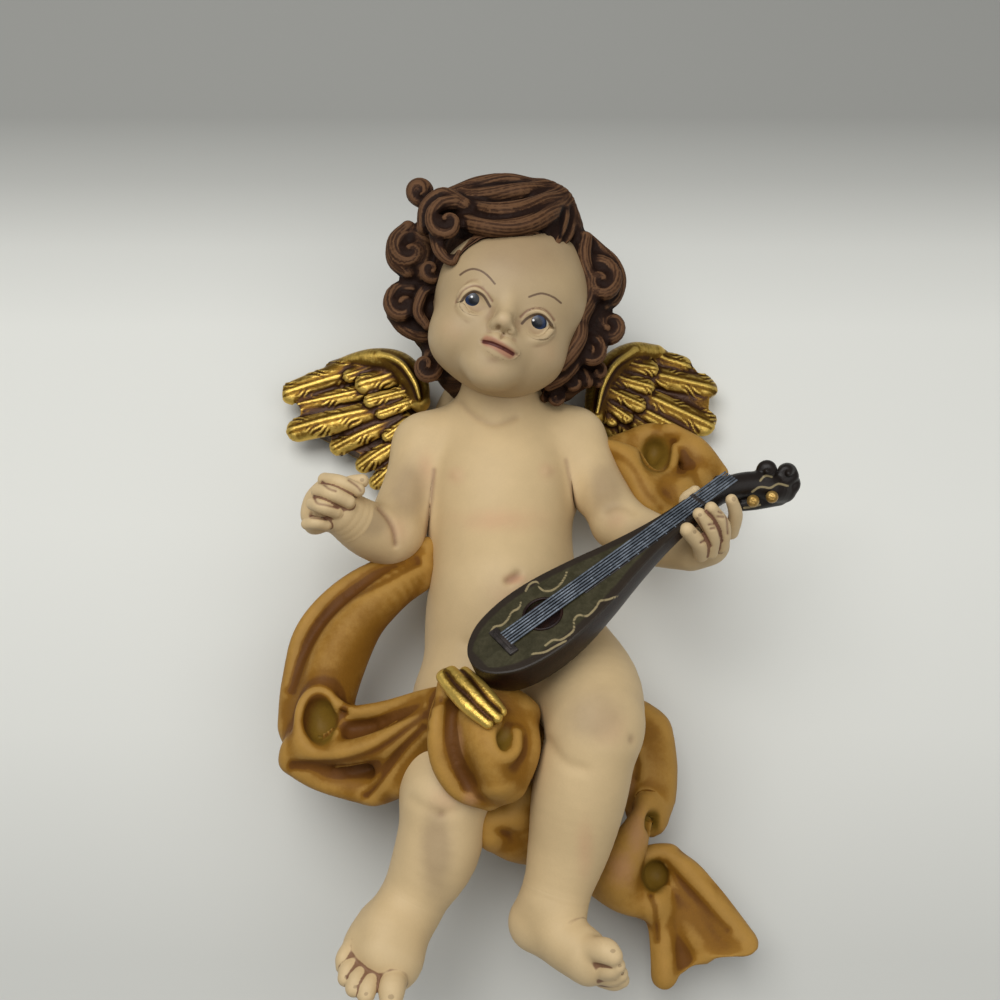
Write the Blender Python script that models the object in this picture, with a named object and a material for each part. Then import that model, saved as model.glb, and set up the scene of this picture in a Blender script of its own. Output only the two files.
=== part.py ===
# Cherub wall plaque: a seated putto cast in resin with its hair, wings and drapery,
# and a small mandolin cast on its own and glued into the hand.
# The forms are set out in millimetres. Their places are given on the front drawing
# as u across, v down and d out from the wall. The objects are scaled to metres last.
import math

import bmesh
import bpy
import numpy as np
from mathutils import Matrix, Vector
from mathutils.bvhtree import BVHTree

# Driving sizes, millimetres
FINE = 1.15              # grid of the rough cast
FIGURE_FACES = 7700      # triangles kept in the figure before its cuts
MEND_ROUNDS = 30
BLEND = 3.0              # how widely forms run together where they name no width
WALL = ((-200, 0, -300), (200, 60, 200))
GLUE_GAP = 0.3           # room left round the mandolin
HANG_HOLE = (9.0, 8.0)   # blind hole in the back: width, depth
HANG_AT = 16.0           # height of that hole above the mount
MILLIMETRE = 0.001

# Front drawing: the eye stands low in front of the plaque and looks up at it
SHEET = 1000.0
EYE_LENS = 40.0 / 36.0
EYE_RISE = math.radians(20.0)
EYE_OFF = 416.0
EYE_TARGET = np.array((0.0, -30.0, -30.0))
LOOK = np.array((0.0, math.cos(EYE_RISE), math.sin(EYE_RISE)))
UP = np.array((0.0, -math.sin(EYE_RISE), math.cos(EYE_RISE)))
EYE = EYE_TARGET - EYE_OFF * LOOK

# Head: middle on the drawing, and how it leans, turns and nods
HEAD_AT = (508, 318, 45)
HEAD_LEAN, HEAD_TURN, HEAD_NOD = 16.0, 6.0, 8.0


def view_ray(u, v):
    across = (u / SHEET - 0.5) / EYE_LENS
    down = (v / SHEET - 0.5) / EYE_LENS
    return LOOK + np.array((across, 0.0, 0.0)) - UP * down


def at(u, v, d):
    # the point seen at u, v on the drawing that stands d out from the wall
    ray = view_ray(u, v)
    return EYE + ray * ((-d - EYE[1]) / ray[1])


def turned(axis, degrees):
    return np.array(Matrix.Rotation(math.radians(degrees), 3, Vector(axis)))


HEAD_MIDDLE = at(*HEAD_AT)
HEAD_TURNED = turned((0, 1, 0), HEAD_LEAN) @ turned((1, 0, 0), HEAD_NOD) @ turned((0, 0, 1), HEAD_TURN)
# rows: the head's own right, front and top
HEAD_AXES = np.array([HEAD_TURNED @ np.array(a, float) for a in ((1, 0, 0), (0, -1, 0), (0, 0, 1))])


def in_head(x, front, up):
    return HEAD_MIDDLE + np.array((x, front, up)) @ HEAD_AXES


def on_face(u, v, front):
    # the point seen at u, v that stands this far in front of the head's middle
    ray = view_ray(u, v)
    reach = (front - (EYE - HEAD_MIDDLE) @ HEAD_AXES[1]) / (ray @ HEAD_AXES[1])
    return EYE + ray * reach


def spline(rows, steps):
    # smooth route through the rows, which may carry a radius as well
    rows = np.asarray(rows, float)
    if len(rows) == 2:
        part = np.linspace(0, 1, steps + 1)[:, None]
        return rows[0] * (1 - part) + rows[1] * part
    ends = np.vstack([2 * rows[0] - rows[1], rows, 2 * rows[-1] - rows[-2]])
    out = []
    for a, b, c, d in zip(ends[:-3], ends[1:-2], ends[2:-1], ends[3:]):
        for t in np.arange(steps) / steps:
            out.append(b + 0.5 * t * (c - a + t * (2 * a - 5 * b + 4 * c - d + t * (3 * b - a - 3 * c + d))))
    out.append(rows[-1])
    return np.array(out)


# Forms: each knows its box, its distance from any points and a rough mesh

class Ball:
    def __init__(self, middle, radii, axes=None, blend=None):
        self.middle = np.array(middle, float)
        self.radii = np.array(radii, float) * np.ones(3)
        self.axes = np.eye(3) if axes is None else np.array(axes, float)
        self.blend = blend

    def box(self):
        reach = np.abs(self.axes.T) @ self.radii
        return self.middle - reach, self.middle + reach

    def distance(self, points):
        local = (points - self.middle) @ self.axes.T
        near = np.linalg.norm(local / self.radii, axis=1)
        steep = np.linalg.norm(local / self.radii ** 2, axis=1) + 1e-9
        return near * (near - 1) / steep

    def build(self, bm):
        place = Matrix((self.axes.T * self.radii).tolist()).to_4x4()
        place.translation = Vector(self.middle)
        bmesh.ops.create_icosphere(bm, subdivisions=3, radius=1.0, matrix=place)


class Limb:
    def __init__(self, rows, blend=None, steps=5):
        self.rows = spline(rows, steps)
        self.blend = blend

    def box(self):
        places, radii = self.rows[:, :3], self.rows[:, 3:4]
        return (places - radii).min(0), (places + radii).max(0)

    def distance(self, points):
        near = np.full(len(points), 1e9)
        for a, b in zip(self.rows[:-1], self.rows[1:]):
            run = b[:3] - a[:3]
            along = np.clip((points - a[:3]) @ run / max(run @ run, 1e-9), 0, 1)
            gap = points - a[:3] - along[:, None] * run
            near = np.minimum(near, np.sqrt((gap * gap).sum(1)) - a[3] - along * (b[3] - a[3]))
        return near

    def build(self, bm):
        sides = 12
        runs = np.gradient(self.rows[:, :3], axis=0)
        rings = []
        side = np.cross(runs[0], (0.02, 1.0, 0.01))
        for row, run in zip(self.rows, runs):
            run = run / np.linalg.norm(run)
            side = side - (side @ run) * run
            side = side / np.linalg.norm(side)
            over = np.cross(run, side)
            turns = np.arange(sides) * math.tau / sides
            rings.append([bm.verts.new(row[:3] + row[3] * (math.cos(a) * side + math.sin(a) * over))
                          for a in turns])
        for low, high in zip(rings[:-1], rings[1:]):
            for j in range(sides):
                bm.faces.new((low[j], low[(j + 1) % sides], high[(j + 1) % sides], high[j]))
        bm.faces.new(rings[0][::-1])
        bm.faces.new(rings[-1])
        for row in (self.rows[0], self.rows[-1]):
            bmesh.ops.create_icosphere(bm, subdivisions=2, radius=row[3], matrix=Matrix.Translation(row[:3]))


class Sheet:
    # a slab of cloth or feather: an outline on the drawing with rounded edges and waves in it
    def __init__(self, outline, thick, waves=0.0, count=1.0, blend=None):
        self.corners = np.array([at(*row) for row in outline])
        self.thick = thick
        self.waves = waves
        self.count = count
        self.blend = blend
        flat = np.c_[self.corners[:, 0], self.corners[:, 2], np.ones(len(outline))]
        self.lean = np.linalg.lstsq(flat, self.corners[:, 1], rcond=None)[0]

    def depth(self, points):
        turn = np.arctan2(points[:, 0] - self.corners[0, 0], self.corners[0, 2] - points[:, 2])
        wave = self.waves * np.cos(self.count * math.tau * turn)
        return points[:, 0] * self.lean[0] + points[:, 2] * self.lean[1] + self.lean[2] - wave

    def box(self):
        room = np.array((self.thick, self.thick + abs(self.waves) + 3.0, self.thick))
        return self.corners.min(0) - room, self.corners.max(0) + room

    def distance(self, points):
        flat = points[:, (0, 2)]
        near = np.full(len(points), 1e9)
        inside = np.zeros(len(points), bool)
        for a, b in zip(self.corners[:, (0, 2)], np.roll(self.corners, -1, 0)[:, (0, 2)]):
            run = b - a
            along = np.clip((flat - a) @ run / (run @ run), 0, 1)
            near = np.minimum(near, np.linalg.norm(flat - a - along[:, None] * run, axis=1))
            cross = (a[1] > flat[:, 1]) != (b[1] > flat[:, 1])
            inside ^= cross & (flat[:, 0] < (b[0] - a[0]) * (flat[:, 1] - a[1]) / (b[1] - a[1] + 1e-12) + a[0])
        out = np.where(inside, 0.0, near)
        off = points[:, 1] - self.depth(points)
        return np.sqrt(out * out + off * off) - self.thick

    def build(self, bm):
        rough = bmesh.new()
        ring = [rough.verts.new(p) for p in self.corners]
        rough.faces.new(ring)
        bmesh.ops.triangulate(rough, faces=rough.faces[:])
        bmesh.ops.subdivide_edges(rough, edges=rough.edges[:], cuts=5, use_grid_fill=True)
        bmesh.ops.triangulate(rough, faces=rough.faces[:])
        rough.normal_update()
        places = np.array([v.co[:] for v in rough.verts])
        depth = self.depth(places)
        sides = []
        for shift in (-self.thick, self.thick):
            sides.append([bm.verts.new((p[0], y + shift, p[2])) for p, y in zip(places, depth)])
        rough.verts.index_update()
        for face in rough.faces:
            loop = [v.index for v in face.verts]
            bm.faces.new([sides[0][i] for i in loop])
            bm.faces.new([sides[1][i] for i in reversed(loop)])
        for edge in rough.edges:
            if edge.is_boundary:
                i, j = (v.index for v in edge.verts)
                bm.faces.new((sides[0][i], sides[0][j], sides[1][j], sides[1][i]))
        rough.free()
        bmesh.ops.recalc_face_normals(bm, faces=bm.faces[:])


def limb(*rows, blend=None, steps=5):
    return Limb([(*at(u, v, d), r) for u, v, d, r in rows], blend, steps)


def ball(u, v, d, radii, blend=None):
    return Ball(at(u, v, d), radii, None, blend)


def head_ball(x, front, up, radii, blend=None):
    return Ball(in_head(x, front, up), radii, HEAD_AXES, blend)


def face_ball(u, v, front, radii, blend=None):
    return Ball(on_face(u, v, front), radii, HEAD_AXES, blend)


def face_limb(*rows, blend=None, steps=4):
    return Limb([(*on_face(u, v, front), r) for u, v, front, r in rows], blend, steps)


def leaf(tail, tip, width, thick):
    # a feather: a long flat ball between two points
    a, b = at(*tail), at(*tip)
    along = (b - a) / np.linalg.norm(b - a)
    side = np.cross(along, (0, 1, 0))
    side = side / np.linalg.norm(side)
    axes = np.array((along, side, np.cross(along, side)))
    return Ball((a + b) / 2, (np.linalg.norm(b - a) / 2 + 1.5, width, thick), axes, 0.7)


def smooth_min(a, b, blend):
    near = np.maximum(blend - np.abs(a - b), 0) / blend
    return np.minimum(a, b) - near * near * blend * 0.25


def surface(points, forms, blend, cuts):
    # distance of points from all forms run together, with the cuts taken out
    out = np.full(len(points), 1e3)
    for shape, is_cut in [(f, False) for f in forms] + [(c, True) for c in cuts]:
        soft = shape.blend or blend
        low, high = shape.box()
        near = ((points > low - soft - 6) & (points < high + soft + 6)).all(1)
        if near.any():
            gap = shape.distance(points[near])
            out[near] = -smooth_min(-out[near], gap, soft) if is_cut else smooth_min(out[near], gap, soft)
    return out


def settle(points, forms, blend, cuts, rounds=4):
    # moves points along the slope of the distance until they lie on the surface
    step = 0.05
    for _ in range(rounds):
        off = surface(points, forms, blend, cuts)
        slope = np.stack([surface(points + e, forms, blend, cuts) - off for e in np.eye(3) * step], 1) / step
        move = -(off / np.maximum((slope * slope).sum(1), 0.3))[:, None] * slope
        size = np.linalg.norm(move, axis=1)
        points = points + move * np.minimum(1, 2.5 / np.maximum(size, 1e-9))[:, None]
    return points


def new_object(name, bm):
    mesh = bpy.data.meshes.new(name)
    bm.to_mesh(mesh)
    bm.free()
    made = bpy.data.objects.new(name, mesh)
    bpy.context.scene.collection.objects.link(made)
    return made


def applied(made, **settings):
    # adds one modifier, applies it and clears it
    kind = settings.pop("kind")
    modifier = made.modifiers.new(kind, kind)
    for key, value in settings.items():
        setattr(modifier, key, value)
    bpy.context.view_layer.update()
    shaped = bpy.data.meshes.new_from_object(made.evaluated_get(bpy.context.evaluated_depsgraph_get()))
    made.modifiers.clear()
    old = made.data
    made.data = shaped
    bpy.data.meshes.remove(old)


def only_largest(made):
    # drops the small loose bodies that the rough cast can leave
    bm = bmesh.new()
    bm.from_mesh(made.data)
    bm.verts.ensure_lookup_table()
    seen, bodies = set(), []
    for start in bm.verts:
        if start in seen:
            continue
        body, queue = [], [start]
        seen.add(start)
        while queue:
            here = queue.pop()
            body.append(here)
            for edge in here.link_edges:
                there = edge.other_vert(here)
                if there not in seen:
                    seen.add(there)
                    queue.append(there)
        bodies.append(body)
    bodies.sort(key=len)
    for body in bodies[:-1]:
        bmesh.ops.delete(bm, geom=body, context="VERTS")
    bm.to_mesh(made.data)
    bm.free()


def parted(made):
    # eases apart faces that cross each other after the triangles are thinned out
    bm = bmesh.new()
    bm.from_mesh(made.data)
    bmesh.ops.triangulate(bm, faces=bm.faces)
    for _ in range(MEND_ROUNDS):
        bm.faces.ensure_lookup_table()
        tree = BVHTree.FromBMesh(bm)
        crossing = set()
        for i, j in tree.overlap(tree):
            first, second = set(bm.faces[i].verts), set(bm.faces[j].verts)
            if not first & second:
                crossing |= first | second
        if not crossing:
            break
        crossing |= {edge.other_vert(v) for v in list(crossing) for edge in v.link_edges}
        bmesh.ops.smooth_vert(bm, verts=sorted(crossing, key=lambda v: v.index), factor=0.5,
                              use_axis_x=True, use_axis_y=True, use_axis_z=True)
    bm.to_mesh(made.data)
    bm.free()


def cast(name, forms, blend, cuts, fine, faces):
    bm = bmesh.new()
    for form in forms:
        form.build(bm)
    made = new_object(name, bm)
    applied(made, kind="REMESH", mode="VOXEL", voxel_size=fine, adaptivity=0.0)
    only_largest(made)
    count = len(made.data.vertices)
    flat = np.empty(count * 3, np.float32)
    made.data.vertices.foreach_get("co", flat)
    points = settle(flat.reshape(-1, 3).astype(float), forms, blend, cuts)
    made.data.vertices.foreach_set("co", points.astype(np.float32).ravel())
    made.data.update()
    triangles = sum(len(p.vertices) - 2 for p in made.data.polygons)
    applied(made, kind="DECIMATE", ratio=faces / triangles)
    parted(made)
    return made


# Body: every row of a limb is a place on the drawing and a radius

def torso():
    chest = ball(501, 470, 22, (27, 25, 27))
    waist = ball(500, 520, 23, (27.5, 26, 28))
    belly = ball(504, 600, 25, (28.5, 32, 31))
    hips = ball(506, 655, 26, (29, 24, 27))
    neck = limb((497, 440, 26, 16), (500, 385, 38, 15))
    flat_back = ball(501, 450, 6, (31, 10, 44))
    left_shoulder = limb((470, 432, 24, 12), (428, 445, 25, 12))
    right_shoulder = limb((530, 428, 24, 12), (570, 438, 25, 12))
    return [chest, waist, belly, hips, neck, flat_back, left_shoulder, right_shoulder]


def arms():
    left_upper = limb((425, 448, 25, 12.5), (410, 485, 29, 10), (394, 530, 33, 11), blend=5)
    left_fore = limb((390, 538, 34, 11), (366, 528, 42, 10), (342, 512, 52, 8.2), blend=3)
    right_upper = limb((575, 442, 25, 12), (595, 480, 29, 10), (617, 520, 35, 10), blend=5)
    right_fore = limb((620, 524, 37, 9.8), (655, 540, 45, 9.2), (690, 548, 53, 8.2), blend=3)
    return [left_upper, left_fore, right_upper, right_fore]


def legs():
    right_thigh = limb((560, 655, 36, 20), (585, 690, 50, 20), (596, 722, 62, 16.5), blend=8)
    right_shin = limb((592, 742, 63, 14.2), (580, 790, 56, 15.2), (570, 840, 49, 13.4), (556, 893, 45, 10.3), blend=4)
    left_thigh = limb((468, 705, 30, 20), (455, 745, 40, 17.5), (446, 790, 47, 14.5), blend=8)
    left_shin = limb((446, 800, 47, 13.6), (437, 850, 44, 13.8), (415, 895, 41, 10.5), (407, 912, 40, 9.3), blend=5)
    return [right_thigh, right_shin, left_thigh, left_shin]


def right_foot():
    heel = ball(530, 922, 40, (7, 7.5, 8), blend=4)
    instep = limb((552, 905, 44, 9.5), (562, 935, 47, 8.5), (583, 952, 51, 7.6), blend=5)
    sole = limb((540, 930, 41, 6.5), (570, 950, 45, 6.5), (590, 965, 50, 6), blend=4)
    big_toe = limb((594, 949, 57, 3.6), (606, 951, 60, 3.8), (613, 956, 61, 3.0), blend=1.5)
    toes = [
        limb((598, 968, 53, 3.4), (610, 969, 57, 3.2), (617, 966, 59, 2.6), blend=1.0),
        limb((600, 974, 51, 3.0), (612, 976, 54, 3.0), (620, 974, 56, 2.5), blend=1.0),
        limb((602, 979, 48, 2.6), (614, 982, 51, 2.6), (622, 980, 53, 2.3), blend=1.0),
    ]
    return [heel, instep, sole, big_toe] + toes


def left_foot():
    instep = limb((407, 912, 40, 9.5), (392, 930, 44, 10.5), (385, 950, 47, 9.5), blend=5)
    outer_edge = limb((375, 925, 40, 6), (362, 945, 44, 6), (358, 960, 46, 4.5), blend=4)
    inner_edge = limb((400, 935, 43, 8), (398, 960, 46, 8), (394, 975, 48, 5.5), blend=4)
    big_toe = limb((394, 975, 50, 4.4), (392, 988, 54, 4.2), (391, 999, 55, 3.5), blend=0.8)
    toes = [
        limb((352, 948, 47, 3.2), (345, 958, 49, 2.9), (344, 966, 49, 2.6), blend=0.8),
        limb((358, 960, 48, 3.2), (349, 970, 51, 3.0), (346, 978, 52, 2.6), blend=0.8),
        limb((366, 968, 49, 3.3), (357, 980, 53, 3.1), (354, 988, 54, 2.7), blend=0.8),
        limb((376, 975, 50, 3.3), (368, 987, 54, 3.1), (366, 995, 55, 2.7), blend=0.8),
    ]
    return [instep, outer_edge, inner_edge, big_toe] + toes


def fist():
    palm = ball(332, 508, 51, (8.3, 9.5, 8), blend=3)
    thumb = limb((338, 492, 52, 3.8), (352, 485, 56, 3.4), (363, 481, 58, 2.9), blend=0.9)
    fingers = [
        limb((318, 485, 56, 3.3), (335, 482, 61, 3.6), (356, 489, 59, 3.1), blend=0.9),
        limb((310, 497, 57, 3.6), (326, 497, 63, 3.8), (346, 503, 61, 3.3), blend=0.9),
        limb((306, 510, 57, 3.4), (320, 510, 63, 3.5), (337, 513, 61, 3.1), blend=0.9),
        limb((306, 523, 55, 3.0), (315, 525, 60, 3.1), (328, 526, 59, 2.7), blend=0.9),
    ]
    return [palm, thumb] + fingers


def holding_hand():
    palm = ball(708, 545, 56, (9, 8.5, 8), blend=3)
    thumb = limb((698, 535, 56, 3.8), (686, 512, 62, 3.4), (697, 492, 68, 2.9), blend=0.9)
    fingers = [
        limb((738, 535, 60, 3.6), (742, 518, 68, 3.5), (733, 500, 77, 2.9), blend=0.9),
        limb((728, 546, 62, 3.7), (723, 528, 71, 3.6), (706, 507, 79, 3.0), blend=0.9),
        limb((716, 554, 62, 3.6), (709, 538, 71, 3.5), (696, 515, 79, 2.9), blend=0.9),
        limb((702, 560, 60, 3.4), (694, 549, 69, 3.3), (685, 531, 78, 2.8), blend=0.9),
    ]
    return [palm, thumb] + fingers


# Head

def skull():
    crown = head_ball(0, -3, 7, (33, 37, 37))
    brow = head_ball(0, 14, 3, (27.5, 20.5, 22), blend=8)
    middle = head_ball(0, 12, -13, (25.5, 19, 18), blend=8)
    cheeks = [head_ball(x, 16, up, (13, 13, 12.5), blend=6) for x, up in ((-14.5, -19), (14.5, -18))]
    jaw = head_ball(1, 13, -28, (15, 14, 10.5), blend=6)
    chin = head_ball(0.8, 26.5, -31, (6.5, 5.5, 5.5), blend=5)
    muzzle = head_ball(1, 28, -22, (9.5, 6, 7), blend=5)
    ears = [head_ball(-29.5, 2, -1, (4, 5, 8), blend=2), head_ball(28, 3, 4, (4, 5, 8), blend=2)]
    return [crown, brow, middle, *cheeks, jaw, chin, muzzle, *ears]


def face():
    bridge = face_limb((506, 303, 31, 3), (505, 316, 35, 3.4), (504, 323, 38, 3.9), blend=3)
    nostrils = [face_ball(u, v, 35, (2.7, 3.2, 2.6), blend=2) for u, v in ((495, 325), (514, 333))]
    upper_lip = face_limb((483, 338, 31.5, 1.0), (491, 338, 34, 1.8), (500, 341, 35, 1.9), (508, 345, 34, 1.8),
                          (516, 351, 31.5, 1.0), blend=1.5)
    lower_lip = face_limb((485, 344, 31.5, 1.2), (492, 349, 33.2, 2.0), (499, 352, 33.8, 2.3),
                          (506, 355, 33.2, 2.0), (513, 354, 31.5, 1.2), blend=1.5)
    eyes = [face_ball(u, v, 26.5, (5.6, 5.4, 5.4), blend=1) for u, v in ((474, 300), (537, 322))]
    left_lid = face_limb((460, 301, 27, 1.1), (466, 291, 30.5, 1.5), (476, 288, 31.8, 1.6), (486, 294, 31, 1.3),
                         (489, 303, 30, 0.9), blend=1.5)
    right_lid = face_limb((551, 330, 27, 1.1), (550, 316, 30.5, 1.5), (541, 310, 31.8, 1.6), (530, 310, 31, 1.3),
                          (523, 317, 30, 0.9), blend=1.5)
    return [bridge, *nostrils, upper_lip, lower_lip, *eyes, left_lid, right_lid]


def face_cuts():
    sockets = [face_ball(u, v, 37.5, (7.5, 6, 4.6), blend=3) for u, v in ((475, 301), (536, 321))]
    mouth = face_limb((483, 340, 34, 0.5), (491, 342.5, 37, 0.7), (499, 346, 38, 0.8), (508, 350, 37, 0.7),
                      (515, 353, 34, 0.5), blend=0.8)
    return [*sockets, mouth]


SCALP = Ball(in_head(0, -4, 11), (36.5, 38.5, 37.5), HEAD_AXES)


def on_scalp(u, v, lift):
    # the point of the scalp seen at u, v, lifted off it
    ray = view_ray(u, v) @ SCALP.axes.T / SCALP.radii
    start = (EYE - SCALP.middle) @ SCALP.axes.T / SCALP.radii
    a, b, c = ray @ ray, 2 * start @ ray, start @ start - 1
    reach = (-b - math.sqrt(max(b * b - 4 * a * c, 0))) / (2 * a)
    place = start + reach * ray
    slope = (place / SCALP.radii) @ SCALP.axes
    return (place * SCALP.radii) @ SCALP.axes + SCALP.middle + lift * slope / np.linalg.norm(slope)


def lock(*rows, blend=1.2):
    return Limb([(*on_scalp(u, v, lift), r) for u, v, lift, r in rows], blend)


def curl(u, v, d, size, thick, turns=1.3, start=0.0, way=1, tall=1.0):
    # a lock that winds inwards and stands up towards its middle
    rows = []
    for t in np.linspace(0, 1, 12):
        angle = math.radians(start) + way * t * turns * math.tau
        reach = size * (1 - 0.8 * t)
        rows.append((u + reach * math.cos(angle), v + reach * math.sin(angle) * tall, d + 6 * t,
                     thick * (1 - 0.4 * t)))
    return limb(*rows, blend=1.0, steps=2)


def hair_mass():
    crown = head_ball(0, -5, 12, (36, 37, 35.5), blend=3)
    nape = head_ball(0, -16, -4, (34, 26, 36), blend=3)
    behind_neck = ball(505, 330, 16, (32, 18, 38), blend=4)
    left = [ball(420, 258, 48, (9, 13, 19), blend=3), ball(424, 318, 42, (9, 13, 17), blend=3),
            ball(432, 365, 36, (7, 10, 9), blend=3)]
    right = [ball(598, 285, 42, (10, 15, 20), blend=3), ball(596, 335, 34, (13, 14, 18), blend=3),
             ball(575, 378, 30, (13, 12, 13), blend=3)]
    return [crown, nape, behind_neck, *left, *right]


def fringe():
    # swept from the parting over the brow, lowest lock first
    swept = [
        lock((566, 203, 0, 4.2), (540, 222, 1, 4.4), (505, 231, 1.5, 4.2), (476, 228, 1.5, 4.2), (452, 214, 0.5, 4)),
        lock((560, 195, 0, 4.2), (530, 209, 1, 4.5), (495, 215, 1.5, 4.5), (460, 208, 0.5, 4.2)),
        lock((550, 190, 0, 4.5), (520, 197, 1, 4.5), (485, 201, 1, 4.5), (452, 202, 0, 4.2)),
        lock((540, 187, -1, 4.5), (510, 187, 0, 4.5), (478, 191, -0.5, 4.5), (450, 197, -1, 4)),
    ]
    forelock = lock((570, 205, 0, 3.0), (566, 225, 0.5, 3.2), (560, 240, 0.5, 2.4), (551, 251, 0.5, 1.2))
    down_right = [
        lock((566, 200, 0, 3.5), (575, 220, 0, 3.5), (582, 240, 0, 3.6), (590, 262, 0, 4)),
        lock((574, 210, -1, 3.5), (590, 227, -1, 4), (602, 247, -1.5, 4), (610, 262, -2, 4)),
    ]
    return [*swept, forelock, *down_right]


def curls():
    top_ball = [ball(421, 193, 63, (5.5, 5.5, 5.5), blend=1.5),
                limb((424, 198, 63, 4), (440, 210, 66, 4.5), (456, 214, 68, 4), blend=1.5)]
    temple = [curl(449, 226, 74, 19, 3.6, turns=1.35, start=-60, way=-1),
              limb((440, 240, 74, 3), (438, 255, 72, 2.8), (450, 262, 72, 2.4), (455, 255, 73, 1.8), blend=1)]
    left = [
        curl(405, 250, 55, 19, 4.4, start=-40, way=-1), curl(428, 268, 60, 12, 3.0, turns=1.2),
        curl(403, 305, 50, 17, 4.2, start=-60, way=-1, tall=1.1), curl(424, 292, 56, 9, 2.6, start=90),
        curl(424, 333, 46, 12, 3.2, start=-90, way=-1), curl(429, 368, 46, 11, 3.0, start=-30, tall=1.2),
    ]
    right = [
        curl(607, 280, 54, 20, 4.0, turns=1.4, start=-150, tall=1.1), curl(610, 325, 46, 16, 3.6, start=180, way=-1),
        curl(588, 350, 50, 13, 3.0, start=-90), curl(583, 325, 54, 9, 2.6), curl(575, 380, 44, 12, 3.0, way=-1),
        curl(596, 372, 40, 10, 2.8, start=90), curl(553, 396, 40, 9, 2.6, start=180),
    ]
    over_right = limb((598, 240, 50, 3.5), (616, 258, 50, 3.5), (624, 280, 50, 3.5), (618, 300, 50, 3.5),
                      (598, 302, 54, 3), blend=1)
    return top_ball + temple + left + right + [over_right]


# Wings: a back plate, long feathers, coverts over their roots and a rolled front edge

def left_wing():
    plate = Sheet([(425, 395, 5), (377, 352, 5), (320, 370, 7), (290, 400, 8), (300, 436, 8), (350, 450, 7),
                   (380, 490, 6), (412, 450, 5)], 3.0, 0.7, 1.3, blend=1.5)
    root = limb((425, 410, 8, 8), (400, 388, 8, 8), blend=2)
    feathers = [
        leaf((392, 362, 14), (318, 368, 10), 4.6, 2.6), leaf((390, 374, 13), (288, 398, 8), 5.2, 2.6),
        leaf((398, 393, 13), (294, 431, 8), 5.6, 2.6), leaf((402, 412, 13), (333, 449, 8), 4.6, 2.6),
        leaf((404, 430, 12), (361, 465, 8), 4.0, 2.6), leaf((403, 447, 11), (376, 480, 7), 3.4, 2.6),
        leaf((402, 462, 10), (383, 493, 7), 2.8, 2.6),
    ]
    coverts = [
        leaf((402, 372, 18), (353, 383, 15), 3.6, 2.4), leaf((410, 388, 18), (362, 402, 15), 3.2, 2.4),
        leaf((415, 400, 17), (378, 414, 14), 2.8, 2.4), leaf((400, 362, 18), (352, 366, 14), 3.0, 2.4),
        leaf((412, 412, 16), (384, 430, 13), 2.8, 2.4), leaf((408, 428, 14), (384, 446, 12), 2.6, 2.4),
    ]
    edge = [
        limb((420, 402, 20, 2.8), (416, 380, 22, 3.4), (401, 361, 23, 3.6), (378, 352, 20, 3.2),
             (350, 357, 15, 2.6), blend=1.2),
        limb((409, 402, 19, 2.4), (405, 384, 21, 2.8), (393, 368, 22, 2.8), (376, 360, 19, 2.4), blend=1.2),
    ]
    return [plate, root] + feathers + coverts + edge


def right_wing():
    plate = Sheet([(590, 430, 5), (600, 380, 5), (630, 342, 6), (668, 348, 7), (712, 385, 8), (708, 430, 8),
                   (680, 436, 7), (640, 436, 6)], 3.0, 0.7, 1.3, blend=1.5)
    root = limb((588, 415, 8, 8), (606, 390, 8, 8), blend=2)
    feathers = [
        leaf((640, 350, 13), (688, 362, 10), 4.8, 2.6), leaf((640, 368, 13), (715, 389, 8), 5.6, 2.6),
        leaf((640, 392, 13), (714, 425, 8), 5.6, 2.6), leaf((632, 405, 13), (692, 441, 8), 4.8, 2.6),
        leaf((622, 412, 13), (660, 442, 8), 4.2, 2.6), leaf((612, 415, 12), (638, 441, 8), 3.6, 2.6),
        leaf((603, 415, 12), (618, 441, 8), 3.2, 2.6),
    ]
    coverts = [
        leaf((618, 360, 18), (662, 366, 14), 3.8, 2.4), leaf((614, 374, 18), (655, 388, 15), 3.8, 2.4),
        leaf((610, 388, 18), (650, 408, 15), 3.6, 2.4), leaf((606, 400, 17), (634, 420, 14), 3.2, 2.4),
        leaf((600, 406, 16), (616, 424, 13), 2.8, 2.4),
    ]
    edge = [
        limb((592, 415, 19, 3), (598, 385, 22, 3.6), (612, 360, 23, 3.8), (634, 344, 21, 3.4),
             (662, 347, 15, 2.8), blend=1.2),
        limb((602, 405, 19, 2.4), (607, 385, 21, 2.8), (620, 365, 22, 2.8), (638, 354, 19, 2.4), blend=1.2),
    ]
    return [plate, root] + feathers + coverts + edge


# Drapery: each piece of cloth is a backing with folds laid over it

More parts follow.
